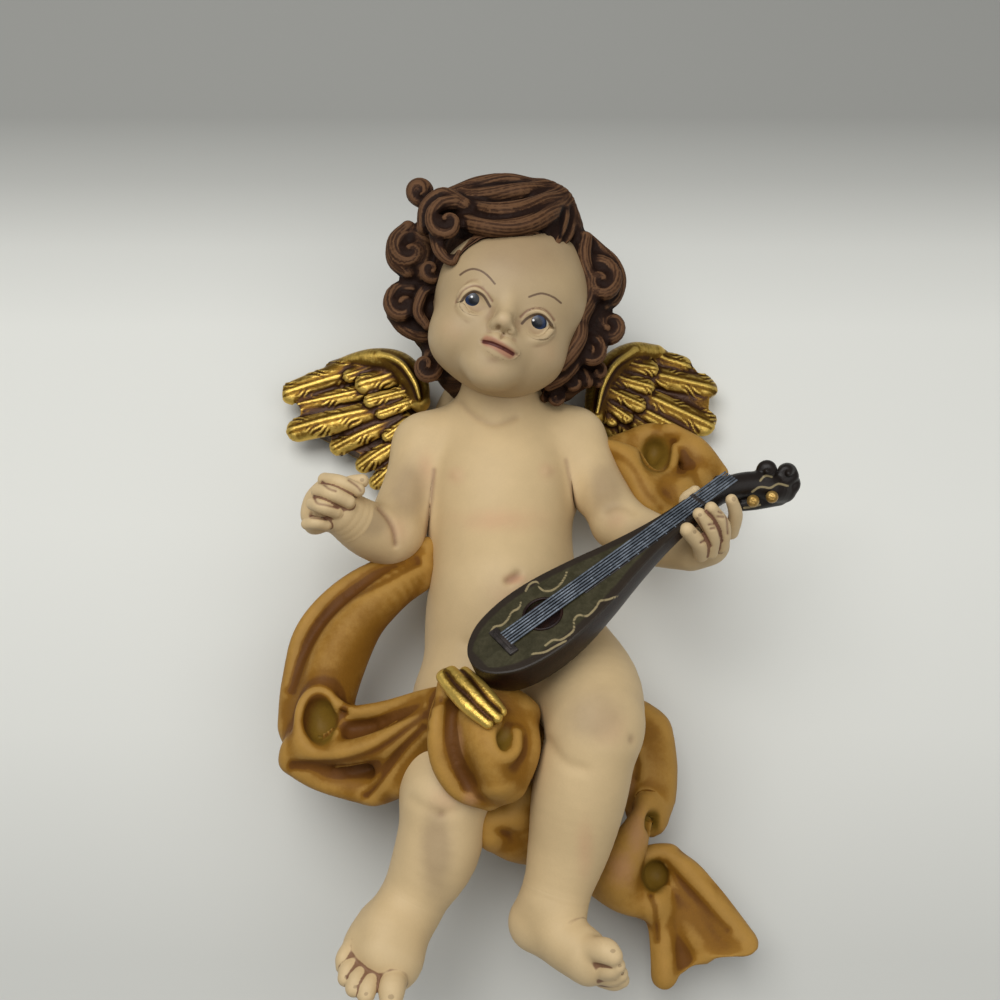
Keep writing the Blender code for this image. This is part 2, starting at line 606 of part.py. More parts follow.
def loop_cloth():
    # hangs from the waist in a loop beside the hip and comes back to the lap
    backing = Sheet([(428, 552, 24), (390, 566, 27), (345, 592, 30), (309, 638, 31), (296, 690, 31), (296, 742, 31),
                     (314, 768, 32), (384, 784, 36), (420, 765, 42), (440, 712, 46), (386, 716, 42), (340, 716, 36),
                     (345, 662, 33), (366, 615, 30), (425, 572, 26)], 5.5, blend=3)
    outer_fold = limb((425, 548, 30, 4), (395, 563, 32, 5), (355, 580, 34, 5.3), (320, 608, 36, 5.3),
                      (299, 642, 36, 5.3), (292, 690, 34, 5), (290, 725, 34, 5))
    middle_fold = limb((424, 562, 37, 5), (395, 586, 42, 6.5), (360, 608, 44, 7.5), (335, 645, 45, 8),
                       (318, 685, 44, 8))
    inner_fold = limb((424, 582, 34, 4), (396, 594, 36, 5), (369, 622, 36, 5.5), (352, 660, 36, 6),
                      (338, 694, 36, 6.5))
    cup = ball(318, 724, 34, (12, 14, 11))
    lip = limb(*[(319 + 20 * math.cos(a), 720 + 31 * math.sin(a), 46, 2.2) for a in np.linspace(0.3, 5.8, 14)],
               blend=1.5, steps=2)
    to_lap = [
        limb((346, 714, 46, 4.5), (385, 709, 50, 5.0), (430, 697, 56, 5.2), (470, 690, 60, 5)),
        limb((295, 748, 42, 6.5), (340, 754, 50, 6.5), (385, 742, 54, 6.5), (430, 715, 60, 6)),
        limb((373, 797, 44, 4), (385, 777, 48, 5), (405, 753, 52, 5), (430, 732, 58, 5)),
        limb((400, 785, 46, 5.5), (416, 766, 50, 5.5), (430, 750, 52, 6)),
    ]
    hem = limb((290, 763, 40, 5.5), (320, 781, 42, 5.5), (360, 792, 41, 5.5), (388, 790, 40, 5.5), (412, 768, 42, 6))
    under_lap = limb((345, 755, 26, 10), (380, 755, 28, 12), (430, 735, 28, 16), (480, 730, 36, 16))
    behind_waist = limb((430, 575, 8, 9), (500, 545, 6, 9), (590, 470, 8, 9))
    return [backing, outer_fold, middle_fold, inner_fold, cup, lip, *to_lap, hem, under_lap, behind_waist]


def knot_cloth():
    # the gathered pouch at the lap, with its gilded border at the top
    pouch = ball(483, 742, 56, (15, 20, 15))
    left_roll = limb((448, 684, 66, 4.5), (437, 720, 70, 5), (439, 760, 68, 5.2), (458, 790, 65, 5.2),
                     (488, 802, 62, 5))
    middle_roll = limb((474, 715, 73, 5), (490, 750, 77, 7), (498, 782, 72, 7))
    right_roll = limb((522, 715, 64, 6), (528, 750, 66, 6.5), (514, 785, 64, 6.5))
    top_roll = limb((452, 682, 66, 5), (495, 690, 66, 6), (527, 712, 60, 6))
    border = [
        limb((443, 679, 74, 1.8), (462, 701, 78, 2.1), (487, 725, 81, 1.8), blend=0.8),
        limb((454, 674, 74, 1.8), (474, 697, 79, 2.3), (497, 719, 81, 1.8), blend=0.8),
        limb((467, 673, 73, 1.6), (484, 690, 78, 2), (501, 712, 80, 1.6), blend=0.8),
    ]
    return [pouch, left_roll, middle_roll, right_roll, top_roll, *border]


def lower_cloth():
    # falls between the shins, and beside the knee in a swirl
    between = [
        limb((490, 830, 46, 5), (492, 820, 48, 5), (510, 815, 48, 5)),
        limb((492, 838, 42, 5), (512, 846, 36, 5.5), (532, 850, 30, 5)),
        limb((522, 795, 46, 7), (522, 828, 38, 8), (535, 842, 24, 8), (600, 860, 14, 10), (630, 870, 18, 9)),
    ]
    swirl = Sheet([(610, 730, 16), (640, 712, 18), (666, 728, 19), (670, 766, 20), (667, 798, 20), (654, 822, 20),
                   (636, 812, 20), (620, 800, 18)], 5.0, blend=3)
    swirl_edge = limb((640, 712, 20, 4.5), (660, 725, 21, 5), (667, 762, 22, 5.5), (663, 798, 22, 5.5),
                      (651, 825, 20, 4.5))
    swirl_fold = limb((628, 735, 22, 6), (645, 765, 23, 5), (648, 798, 22, 5))
    inner_band = limb((649, 804, 30, 3), (638, 826, 31, 4.2), (629, 852, 30, 5.2), (622, 878, 27, 5.5))
    foot_band = limb((600, 884, 22, 5.5), (625, 898, 24, 6), (652, 903, 22, 6))
    hollow_lip = limb((651, 802, 29, 1.8), (659, 810, 27, 1.8), (660, 822, 24, 2))
    return [*between, swirl, swirl_edge, swirl_fold, inner_band, foot_band, hollow_lip]


def tail_cloth():
    # the free end, spread out beside the foot
    spread = Sheet([(650, 852, 16), (672, 853, 20), (716, 898, 20), (752, 950, 20), (742, 956, 20), (707, 957, 17),
                    (682, 971, 16), (664, 986, 18), (655, 968, 16), (652, 927, 14)], 3.4, 2.0, 1.6, blend=2)
    folds = [
        limb((655, 855, 23, 3), (672, 857, 25, 3.4), (708, 895, 25, 3.4), (745, 940, 23, 2.6), blend=2.5),
        limb((652, 900, 22, 4), (664, 925, 22, 3.8), (664, 975, 20, 2.6), blend=2.5),
        limb((660, 900, 20, 3.2), (690, 935, 21, 3.0), (700, 955, 19, 2.4), blend=2.5),
    ]
    return [spread, *folds]


def shoulder_cloth():
    main_fold = limb((600, 448, 26, 5), (622, 456, 30, 6), (638, 480, 33, 6.5), (650, 503, 33, 6.5),
                     (668, 512, 32, 5))
    hollow_lip = limb((635, 455, 30, 3), (645, 472, 32, 3), (658, 479, 32, 3), (671, 470, 30, 3), (676, 448, 27, 3))
    peak = limb((672, 430, 22, 3.5), (697, 450, 24, 5.5), (719, 474, 22, 5))
    lower = [limb((690, 455, 22, 7), (700, 475, 24, 7), (685, 495, 28, 8)), limb((655, 490, 30, 7), (675, 495, 30, 7))]
    behind = limb((610, 455, 14, 8), (650, 480, 14, 12), (690, 470, 12, 9))
    other_shoulder = limb((440, 402, 20, 4), (420, 400, 18, 4), (406, 418, 15, 3.2), (397, 448, 12, 2.6), blend=2)
    return [main_fold, hollow_lip, peak, *lower, behind, other_shoulder]


def cloth_cuts():
    cup = ball(321, 722, 54, (5.5, 9.5, 12), blend=2.5)
    shoulder_hollow = ball(654, 452, 36, (5, 9, 8), blend=2)
    tail_hollow = ball(655, 872, 27, (4.2, 6, 5.5), blend=1.5)
    swirl_hollow = ball(655, 822, 28, (2.2, 6, 6), blend=1)
    pouch_valley = limb((452, 705, 80, 2.6), (450, 740, 80, 3.6), (456, 775, 77, 2.6), blend=2.5)
    pouch_hook = limb((502, 726, 83, 1.6), (510, 738, 82, 2.2), (505, 745, 81, 1.6), blend=1)
    loop_valley = limb((386, 577, 42, 1.6), (345, 597, 44, 2.2), (308, 645, 44, 2.4), (297, 690, 43, 1.8), blend=2)
    lap_valley = limb((300, 768, 50, 1.6), (340, 772, 53, 2.4), (380, 760, 56, 2.4), (420, 728, 62, 2), blend=2)
    return [cup, shoulder_hollow, tail_hollow, swirl_hollow, pouch_valley, pouch_hook, loop_valley, lap_valley]


# Mandolin: its own frame runs along the strings, across the board and out of it

STRINGS = ((505, 644, 79.0), (697, 505, 73.0))
BOARD_TILT = 33.0                    # how far the board looks up
# along the strings from the bridge, half width, depth of the bowl
STATIONS = (
    (-12.2, 1.4, 5.0), (-11.2, 4.6, 10.0), (-8.0, 8.6, 15.0), (-1.5, 12.4, 19.0), (9.0, 14.4, 20.0),
    (21.0, 14.0, 19.5), (35.0, 11.4, 16.5), (48.0, 8.2, 13.0), (60.0, 5.8, 10.0), (70.0, 4.6, 8.0), (79.0, 4.2, 7.0),
)


def mandolin_frame():
    foot, nut = at(*STRINGS[0]), at(*STRINGS[1])
    along = (nut - foot) / np.linalg.norm(nut - foot)
    out = np.array((0, -math.cos(math.radians(BOARD_TILT)), math.sin(math.radians(BOARD_TILT))))
    out = out - (out @ along) * along
    out = out / np.linalg.norm(out)
    return foot, along, np.cross(out, along), out


def bowl_ring(foot, along, across, out, station, grow):
    # flat board in front, upright ribs, round back
    run, half, depth = station
    half, depth = half + grow, depth + grow
    profile = [(-1.0, grow), (-0.5, grow), (0.0, grow), (0.5, grow), (1.0, grow)]
    back = [(math.cos(a) * (1.02 - 0.12 * math.sin(a)), -0.18 * depth - 0.82 * depth * math.sin(a))
            for a in np.linspace(0, math.pi, 9)]
    middle = foot + run * along
    return [middle + across * half * x + out * z for x, z in profile + back]


def loft(bm, rings):
    verts = [[bm.verts.new(p) for p in ring] for ring in rings]
    for low, high in zip(verts[:-1], verts[1:]):
        for j in range(len(low)):
            k = (j + 1) % len(low)
            bm.faces.new((low[j], low[k], high[k], high[j]))
    bm.faces.new(verts[0][::-1])
    bm.faces.new(verts[-1])


def mandolin_body(grow):
    foot, along, across, out = mandolin_frame()
    stations = spline(STATIONS, 2)
    stations[0, 0] -= grow
    stations[-1, 0] += grow
    bm = bmesh.new()
    loft(bm, [bowl_ring(foot, along, across, out, s, grow) for s in stations])
    bmesh.ops.recalc_face_normals(bm, faces=bm.faces[:])
    return new_object("mandolin_body", bm)


def mandolin_head(grow):
    # peg box bent back from the nut, with its scrolls and pegs
    forms = [
        limb((698, 505, 69, 4.6), (722, 487, 68, 4.9), (748, 484, 66, 5.4), (772, 490, 63, 6.2), (790, 494, 60, 4.4),
             blend=1.5),
        limb((752, 477, 67, 3.0), (766, 469, 67, 3.6), (778, 474, 66, 3.4), blend=1.5),
        limb((778, 478, 64, 3.6), (790, 477, 63, 3.8), (794, 489, 60, 3.4), blend=1.5),
        limb((742, 508, 62, 2.6), (756, 505, 62, 3.0), (784, 502, 58, 2.6), blend=1.5),
        ball(772, 497, 68.5, (2.2, 2.2, 2.2), blend=0.8),
        ball(753, 501, 68.5, (2.0, 2.0, 2.0), blend=0.8),
    ]
    for form in forms:
        if isinstance(form, Ball):
            form.radii = form.radii + grow
        else:
            form.rows[:, 3] += grow
    return forms


def mandolin(name, grow, faces):
    body = mandolin_body(grow)
    bm = bmesh.new()
    for form in mandolin_head(grow):
        form.build(bm)
    head = new_object("mandolin_head", bm)
    applied(head, kind="REMESH", mode="VOXEL", voxel_size=0.8, adaptivity=0.0)
    applied(head, kind="DECIMATE", ratio=faces / (2 * len(head.data.polygons)))
    trimmed(body, head, "UNION")
    body.name = body.data.name = name
    return body


def trimmed(made, tool, operation):
    applied(made, kind="BOOLEAN", object=tool, operation=operation, solver="EXACT", use_self=True)
    bpy.data.objects.remove(tool)


def block(low, high):
    bm = bmesh.new()
    size = np.subtract(high, low)
    place = Matrix.Translation(np.add(low, high) / 2) @ Matrix.Diagonal((*size, 1.0))
    bmesh.ops.create_cube(bm, size=1.0, matrix=place)
    return new_object("block", bm)


def drill(width, depth, height):
    bm = bmesh.new()
    place = Matrix.Translation((0, 2.0 - (depth + 4.0) / 2, height)) @ Matrix.Rotation(math.pi / 2, 4, "X")
    bmesh.ops.create_cone(bm, cap_ends=True, segments=24, radius1=width / 2, radius2=width / 2,
                          depth=depth + 4.0, matrix=place)
    return new_object("drill", bm)


def finished(made, colour):
    # triangles, metres, one material
    bm = bmesh.new()
    bm.from_mesh(made.data)
    bmesh.ops.remove_doubles(bm, verts=bm.verts, dist=0.01)
    bmesh.ops.dissolve_degenerate(bm, edges=bm.edges, dist=0.005)
    bmesh.ops.triangulate(bm, faces=bm.faces)
    bmesh.ops.scale(bm, vec=(MILLIMETRE,) * 3, verts=bm.verts)
    bm.to_mesh(made.data)
    bm.free()
    made.data.shade_smooth()
    material = bpy.data.materials.new(made.name + "_paint")
    material.use_nodes = True
    material.node_tree.nodes["Principled BSDF"].inputs["Base Color"].default_value = (*colour, 1.0)
    material.node_tree.nodes["Principled BSDF"].inputs["Roughness"].default_value = 0.6
    made.data.materials.clear()
    made.data.materials.append(material)


def make_part():
    for old in list(bpy.data.objects):
        bpy.data.objects.remove(old)
    groups = (torso, arms, legs, right_foot, left_foot, fist, holding_hand, skull, face, hair_mass, fringe, curls,
              left_wing, right_wing, loop_cloth, knot_cloth, lower_cloth, tail_cloth, shoulder_cloth)
    forms = [form for group in groups for form in group()]
    figure = cast("figure", forms, BLEND, face_cuts() + cloth_cuts(), FINE, FIGURE_FACES)
    trimmed(figure, block(*WALL), "DIFFERENCE")
    trimmed(figure, drill(*HANG_HOLE, HANG_AT), "DIFFERENCE")
    trimmed(figure, mandolin("room", GLUE_GAP, 500), "DIFFERENCE")
    only_largest(figure)
    finished(figure, (0.72, 0.55, 0.38))
    finished(mandolin("mandolin", 0.0, 500), (0.10, 0.06, 0.04))


make_part()
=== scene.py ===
import math

import bmesh
import bpy
import numpy as np
from mathutils import Matrix, Vector


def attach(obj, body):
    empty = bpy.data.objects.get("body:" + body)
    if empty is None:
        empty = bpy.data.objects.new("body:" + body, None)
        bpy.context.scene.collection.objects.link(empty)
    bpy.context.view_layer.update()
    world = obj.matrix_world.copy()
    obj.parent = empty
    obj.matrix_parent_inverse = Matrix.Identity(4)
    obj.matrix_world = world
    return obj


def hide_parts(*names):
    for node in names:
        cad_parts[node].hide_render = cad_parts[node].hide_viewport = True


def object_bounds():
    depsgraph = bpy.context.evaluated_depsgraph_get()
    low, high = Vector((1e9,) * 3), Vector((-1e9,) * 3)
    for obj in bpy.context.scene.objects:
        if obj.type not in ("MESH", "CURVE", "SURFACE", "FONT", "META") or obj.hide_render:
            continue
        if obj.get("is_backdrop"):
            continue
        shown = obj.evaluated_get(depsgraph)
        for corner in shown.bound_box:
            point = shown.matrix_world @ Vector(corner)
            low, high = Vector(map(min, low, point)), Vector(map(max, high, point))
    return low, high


MILLIMETRE = 0.001

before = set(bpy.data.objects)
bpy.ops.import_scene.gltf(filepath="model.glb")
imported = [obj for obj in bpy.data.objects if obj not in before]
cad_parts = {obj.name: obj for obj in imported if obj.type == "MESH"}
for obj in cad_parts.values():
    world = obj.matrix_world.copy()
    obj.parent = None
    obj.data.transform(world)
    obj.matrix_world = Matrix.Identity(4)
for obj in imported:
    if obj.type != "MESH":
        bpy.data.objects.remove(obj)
SOLID_LOW, SOLID_HIGH = (np.array(corner[:], float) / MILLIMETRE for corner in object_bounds())

BLEND = 3.0              # how widely forms run together where they name no width
# grids of the castings, millimetres
BODY_GRID = 0.92
HAND_GRID = 0.45
FOOT_GRID = 0.52
FACE_GRID = 0.47
HAIR_GRID = 0.70
CLOTH_GRID = 0.82
WING_GRID = 0.60

# Front drawing: the eye stands low in front of the plaque and looks up at it
SHEET = 1000.0
LENS, SENSOR = 40.0, 36.0
EYE_LENS = LENS / SENSOR
EYE_RISE = math.radians(20.0)
EYE_OFF = 416.0
EYE_TARGET = np.array((0.0, -30.0, -30.0))
LOOK = np.array((0.0, math.cos(EYE_RISE), math.sin(EYE_RISE)))
UP = np.array((0.0, -math.sin(EYE_RISE), math.cos(EYE_RISE)))
EYE = EYE_TARGET - EYE_OFF * LOOK

# Head: middle on the drawing, and how it leans, turns and nods
HEAD_AT = (508, 318, 45)
HEAD_LEAN, HEAD_TURN, HEAD_NOD = 16.0, 6.0, 8.0


def view_ray(u, v):
    across = (u / SHEET - 0.5) / EYE_LENS
    down = (v / SHEET - 0.5) / EYE_LENS
    return LOOK + np.array((across, 0.0, 0.0)) - UP * down


def at(u, v, d):
    # the point seen at u, v on the drawing that stands d out from the wall
    ray = view_ray(u, v)
    return EYE + ray * ((-d - EYE[1]) / ray[1])


def turned(axis, degrees):
    return np.array(Matrix.Rotation(math.radians(degrees), 3, Vector(axis)))


HEAD_MIDDLE = at(*HEAD_AT)
HEAD_TURNED = turned((0, 1, 0), HEAD_LEAN) @ turned((1, 0, 0), HEAD_NOD) @ turned((0, 0, 1), HEAD_TURN)
# rows: the head's own right, front and top
HEAD_AXES = np.array([HEAD_TURNED @ np.array(a, float) for a in ((1, 0, 0), (0, -1, 0), (0, 0, 1))])


def in_head(x, front, up):
    return HEAD_MIDDLE + np.array((x, front, up)) @ HEAD_AXES


def on_face(u, v, front):
    # the point seen at u, v that stands this far in front of the head's middle
    ray = view_ray(u, v)
    reach = (front - (EYE - HEAD_MIDDLE) @ HEAD_AXES[1]) / (ray @ HEAD_AXES[1])
    return EYE + ray * reach


def spline(rows, steps):
    # smooth route through the rows, which may carry a radius as well
    rows = np.asarray(rows, float)
    if len(rows) == 2:
        part = np.linspace(0, 1, steps + 1)[:, None]
        return rows[0] * (1 - part) + rows[1] * part
    ends = np.vstack([2 * rows[0] - rows[1], rows, 2 * rows[-1] - rows[-2]])
    out = []
    for a, b, c, d in zip(ends[:-3], ends[1:-2], ends[2:-1], ends[3:]):
        for t in np.arange(steps) / steps:
            out.append(b + 0.5 * t * (c - a + t * (2 * a - 5 * b + 4 * c - d + t * (3 * b - a - 3 * c + d))))
    out.append(rows[-1])
    return np.array(out)


# Forms: each knows its box, its distance from any points and a rough mesh

class Form:
    is_cut = False


def taken_out(form):
    # a form that is carved away from those before it
    form.is_cut = True
    return form


class Ball(Form):
    def __init__(self, middle, radii, axes=None, blend=None):
        self.middle = np.array(middle, float)
        self.radii = np.array(radii, float) * np.ones(3)
        self.axes = np.eye(3) if axes is None else np.array(axes, float)
        self.blend = blend

    def box(self):
        reach = np.abs(self.axes.T) @ self.radii
        return self.middle - reach, self.middle + reach

    def distance(self, points):
        local = (points - self.middle) @ self.axes.T
        near = np.linalg.norm(local / self.radii, axis=1)
        steep = np.linalg.norm(local / self.radii ** 2, axis=1) + 1e-9
        return near * (near - 1) / steep

    def build(self, bm):
        place = Matrix((self.axes.T * self.radii).tolist()).to_4x4()
        place.translation = Vector(self.middle)
        bmesh.ops.create_icosphere(bm, subdivisions=3, radius=1.0, matrix=place)


class Limb(Form):
    def __init__(self, rows, blend=None, steps=5):
        self.rows = spline(rows, steps)
        self.blend = blend

    def box(self):
        places, radii = self.rows[:, :3], self.rows[:, 3:4]
        return (places - radii).min(0), (places + radii).max(0)

    def distance(self, points):
        near = np.full(len(points), 1e9)
        for a, b in zip(self.rows[:-1], self.rows[1:]):
            run = b[:3] - a[:3]
            along = np.clip((points - a[:3]) @ run / max(run @ run, 1e-9), 0, 1)
            gap = points - a[:3] - along[:, None] * run
            near = np.minimum(near, np.sqrt((gap * gap).sum(1)) - a[3] - along * (b[3] - a[3]))
        return near

    def frames(self):
        # the route's direction and two sideways directions at each row
        runs = np.gradient(self.rows[:, :3], axis=0)
        side = np.cross(runs[0], (0.02, 1.0, 0.01))
        for row, run in zip(self.rows, runs):
            run = run / np.linalg.norm(run)
            side = side - (side @ run) * run
            side = side / np.linalg.norm(side)
            yield row, side, np.cross(run, side)

    def round_about(self, points):
        # distance from the surface, angle round the route and distance along it
        near = np.full(len(points), 1e9)
        turn, run_at = np.zeros(len(points)), np.zeros(len(points))
        travelled = 0.0
        frames = list(self.frames())
        for (a, side, over), (b, _, _) in zip(frames[:-1], frames[1:]):
            run = b[:3] - a[:3]
            along = np.clip((points - a[:3]) @ run / max(run @ run, 1e-9), 0, 1)
            gap = points - a[:3] - along[:, None] * run
            off = np.sqrt((gap * gap).sum(1)) - a[3] - along * (b[3] - a[3])
            closer = off < near
            near[closer] = off[closer]
            turn[closer] = np.arctan2(gap[closer] @ over, gap[closer] @ side)
            run_at[closer] = travelled + along[closer] * np.linalg.norm(run)
            travelled += np.linalg.norm(run)
        return near, turn, run_at

    def build(self, bm):
        sides = 14
        turns = np.arange(sides) * math.tau / sides
        rings = []
        for row, side, over in self.frames():
            rings.append([bm.verts.new(row[:3] + row[3] * (math.cos(a) * side + math.sin(a) * over))
                          for a in turns])
        for low, high in zip(rings[:-1], rings[1:]):
            for j in range(sides):
                bm.faces.new((low[j], low[(j + 1) % sides], high[(j + 1) % sides], high[j]))
        bm.faces.new(rings[0][::-1])
        bm.faces.new(rings[-1])
        for row in (self.rows[0], self.rows[-1]):
            bmesh.ops.create_icosphere(bm, subdivisions=2, radius=row[3],
                                       matrix=Matrix.Translation(row[:3]))


class Feather(Limb):
    # a limb pressed flat towards the wall
    FLAT = np.array((1.0, 1.8, 1.0))

    def __init__(self, rows, blend):
        self.root, self.end = np.array(rows[0][:3]), np.array(rows[-1][:3])
        self.width = max(row[3] for row in rows)
        super().__init__([(*(np.array(row[:3]) * self.FLAT), row[3]) for row in rows], blend)

    def box(self):
        low, high = super().box()
        return low / self.FLAT, high / self.FLAT

    def distance(self, points):
        return super().distance(points * self.FLAT)

    def build(self, bm):
        first = len(bm.verts)
        super().build(bm)
        bm.verts.ensure_lookup_table()
        for v in bm.verts[first:]:
            v.co.y /= self.FLAT[1]

    def along_across(self, points):
        # how far along the feather, and how far off its shaft as a share of its width
        run = (self.end - self.root) / np.linalg.norm(self.end - self.root)
        side = np.cross(run, (0, 1, 0))
        side = side / np.linalg.norm(side)
        return (points - self.root) @ run, (points - self.root) @ side / self.width


class Sheet(Form):
    # a slab of cloth or feather: an outline on the drawing with rounded edges and waves in it
    def __init__(self, outline, thick, waves=0.0, count=1.0, blend=None):
        self.corners = np.array([at(*row) for row in outline])
        self.thick = thick
        self.waves = waves
        self.count = count
        self.blend = blend
        flat = np.c_[self.corners[:, 0], self.corners[:, 2], np.ones(len(outline))]
        self.lean = np.linalg.lstsq(flat, self.corners[:, 1], rcond=None)[0]

    def depth(self, points):
        turn = np.arctan2(points[:, 0] - self.corners[0, 0], self.corners[0, 2] - points[:, 2])
        wave = self.waves * np.cos(self.count * math.tau * turn)
        return points[:, 0] * self.lean[0] + points[:, 2] * self.lean[1] + self.lean[2] - wave

    def box(self):
        room = np.array((self.thick, self.thick + abs(self.waves) + 3.0, self.thick))
        return self.corners.min(0) - room, self.corners.max(0) + room

    def distance(self, points):
        flat = points[:, (0, 2)]
        near = np.full(len(points), 1e9)
        inside = np.zeros(len(points), bool)
        for a, b in zip(self.corners[:, (0, 2)], np.roll(self.corners, -1, 0)[:, (0, 2)]):
            run = b - a
            along = np.clip((flat - a) @ run / (run @ run), 0, 1)
            near = np.minimum(near, np.linalg.norm(flat - a - along[:, None] * run, axis=1))
            cross = (a[1] > flat[:, 1]) != (b[1] > flat[:, 1])
            reach = (b[0] - a[0]) * (flat[:, 1] - a[1]) / (b[1] - a[1] + 1e-12) + a[0]
            inside ^= cross & (flat[:, 0] < reach)
        out = np.where(inside, 0.0, near)
        off = points[:, 1] - self.depth(points)
        return np.sqrt(out * out + off * off) - self.thick

    def build(self, bm):
        rough = bmesh.new()
        ring = [rough.verts.new(p) for p in self.corners]
        rough.faces.new(ring)
        bmesh.ops.triangulate(rough, faces=rough.faces[:])
        bmesh.ops.subdivide_edges(rough, edges=rough.edges[:], cuts=5, use_grid_fill=True)
        bmesh.ops.triangulate(rough, faces=rough.faces[:])
        rough.normal_update()
        places = np.array([v.co[:] for v in rough.verts])
        depth = self.depth(places)
        sides = []
        for shift in (-self.thick, self.thick):
            sides.append([bm.verts.new((p[0], y + shift, p[2])) for p, y in zip(places, depth)])
        rough.verts.index_update()
        for face in rough.faces:
            loop = [v.index for v in face.verts]
            bm.faces.new([sides[0][i] for i in loop])
            bm.faces.new([sides[1][i] for i in reversed(loop)])
        for edge in rough.edges:
            if edge.is_boundary:
                i, j = (v.index for v in edge.verts)
                bm.faces.new((sides[0][i], sides[0][j], sides[1][j], sides[1][i]))
        rough.free()
        bmesh.ops.recalc_face_normals(bm, faces=bm.faces[:])


def limb(*rows, blend=None, steps=5):
    return Limb([(*at(u, v, d), r) for u, v, d, r in rows], blend, steps)


def ball(u, v, d, radii, blend=None):
    return Ball(at(u, v, d), radii, None, blend)


def head_ball(x, front, up, radii, blend=None):
    return Ball(in_head(x, front, up), radii, HEAD_AXES, blend)


def face_ball(u, v, front, radii, blend=None):
    return Ball(on_face(u, v, front), radii, HEAD_AXES, blend)


def face_limb(*rows, blend=None, steps=4):
    return Limb([(*on_face(u, v, front), r) for u, v, front, r in rows], blend, steps)


def feather(*rows, blend=0.8):
    return Feather([(*at(u, v, d), r) for u, v, d, r in rows], blend)


def smooth_min(a, b, blend):
    near = np.maximum(blend - np.abs(a - b), 0) / blend
    return np.minimum(a, b) - near * near * blend * 0.25


def surface(points, forms, blend):
    # distance of points from all forms run together in turn
    out = np.full(len(points), 1e3)
    for shape in forms:
        soft = shape.blend or blend
        low, high = shape.box()
        near = ((points > low - soft - 6) & (points < high + soft + 6)).all(1)
        if near.any():
            gap = shape.distance(points[near])
            sign = -1 if shape.is_cut else 1
            out[near] = sign * smooth_min(sign * out[near], gap, soft)
    return out


def settle(points, forms, blend, rounds, inset):
    # moves points along the slope of the distance until they lie on the surface, or inset below it
    step, least_slope, longest_move = 0.05, 0.3, 2.5
    for _ in range(rounds):
        off = surface(points, forms, blend)
        slope = np.stack([surface(points + e, forms, blend) - off for e in np.eye(3) * step], 1) / step
        off = off + inset
        move = -(off / np.maximum((slope * slope).sum(1), least_slope))[:, None] * slope
        size = np.linalg.norm(move, axis=1)
        points = points + move * np.minimum(1, longest_move / np.maximum(size, 1e-9))[:, None]
    return points


def new_object(name, bm):
    mesh = bpy.data.meshes.new(name)
    bm.to_mesh(mesh)
    bm.free()
    made = bpy.data.objects.new(name, mesh)
    bpy.context.scene.collection.objects.link(made)
    return made


def only(made):
    # the one object that the next operators work on
    bpy.ops.object.select_all(action="DESELECT")
    made.select_set(True)
    bpy.context.view_layer.objects.active = made


def applied(made, kind, **settings):
    only(made)
    modifier = made.modifiers.new(kind, kind)
    for key, value in settings.items():
        setattr(modifier, key, value)
    bpy.ops.object.modifier_apply(modifier=modifier.name)


def only_largest(made):
    # drops the small loose bodies that the rough cast can leave inside
    count = len(made.data.vertices)
    edges = np.empty(len(made.data.edges) * 2, np.int32)
    made.data.edges.foreach_get("vertices", edges)
    a, b = edges.reshape(-1, 2).T
    label = np.arange(count)
    while True:
        low = label.copy()
        np.minimum.at(low, a, label[b])
        np.minimum.at(low, b, label[a])
        low = low[low]
        low = low[low]
        if (low == label).all():
            break
        label = low
    largest = np.bincount(label).argmax()
    bm = bmesh.new()
    bm.from_mesh(made.data)
    bm.verts.ensure_lookup_table()
    loose = [bm.verts[i] for i in np.flatnonzero(label != largest)]
    if loose:
        bmesh.ops.delete(bm, geom=loose, context="VERTS")
        bm.to_mesh(made.data)
    bm.free()


def cast(name, forms, grid, field=None, blend=BLEND, inset=0.0, rounds=2):
    bm = bmesh.new()
    for form in forms:
        if not form.is_cut:
            form.build(bm)
    made = new_object(name, bm)
    applied(made, "REMESH", mode="VOXEL", voxel_size=grid, adaptivity=0.0)
    only_largest(made)
    work = Carving(made)
    field = field or forms
    work.points = settle(work.points, field, blend, rounds, inset)
    work.points = settle(work.relaxed(2), field, blend, 1, inset)
    work.points = work.relaxed(1)
    work.put_back()
    return made


def cropped(made, place, way, reach=400.0):
    # cuts the casting off square past a place and closes it there
    bm = bmesh.new()
    bm.from_mesh(made.data)
    near = {v for v in bm.verts if (v.co - Vector(place)).length < reach}
    faces = [f for f in bm.faces if all(v in near for v in f.verts)]
    edges = {e for f in faces for e in f.edges}
    bmesh.ops.bisect_plane(bm, geom=list(near) + list(edges) + faces, plane_co=place, plane_no=way,
                           clear_outer=True)
    open_edges = [e for e in bm.edges if e.is_boundary]
    for edge in open_edges:
        edge.smooth = False
    bmesh.ops.holes_fill(bm, edges=open_edges, sides=0)
    bm.to_mesh(made.data)
    bm.free()


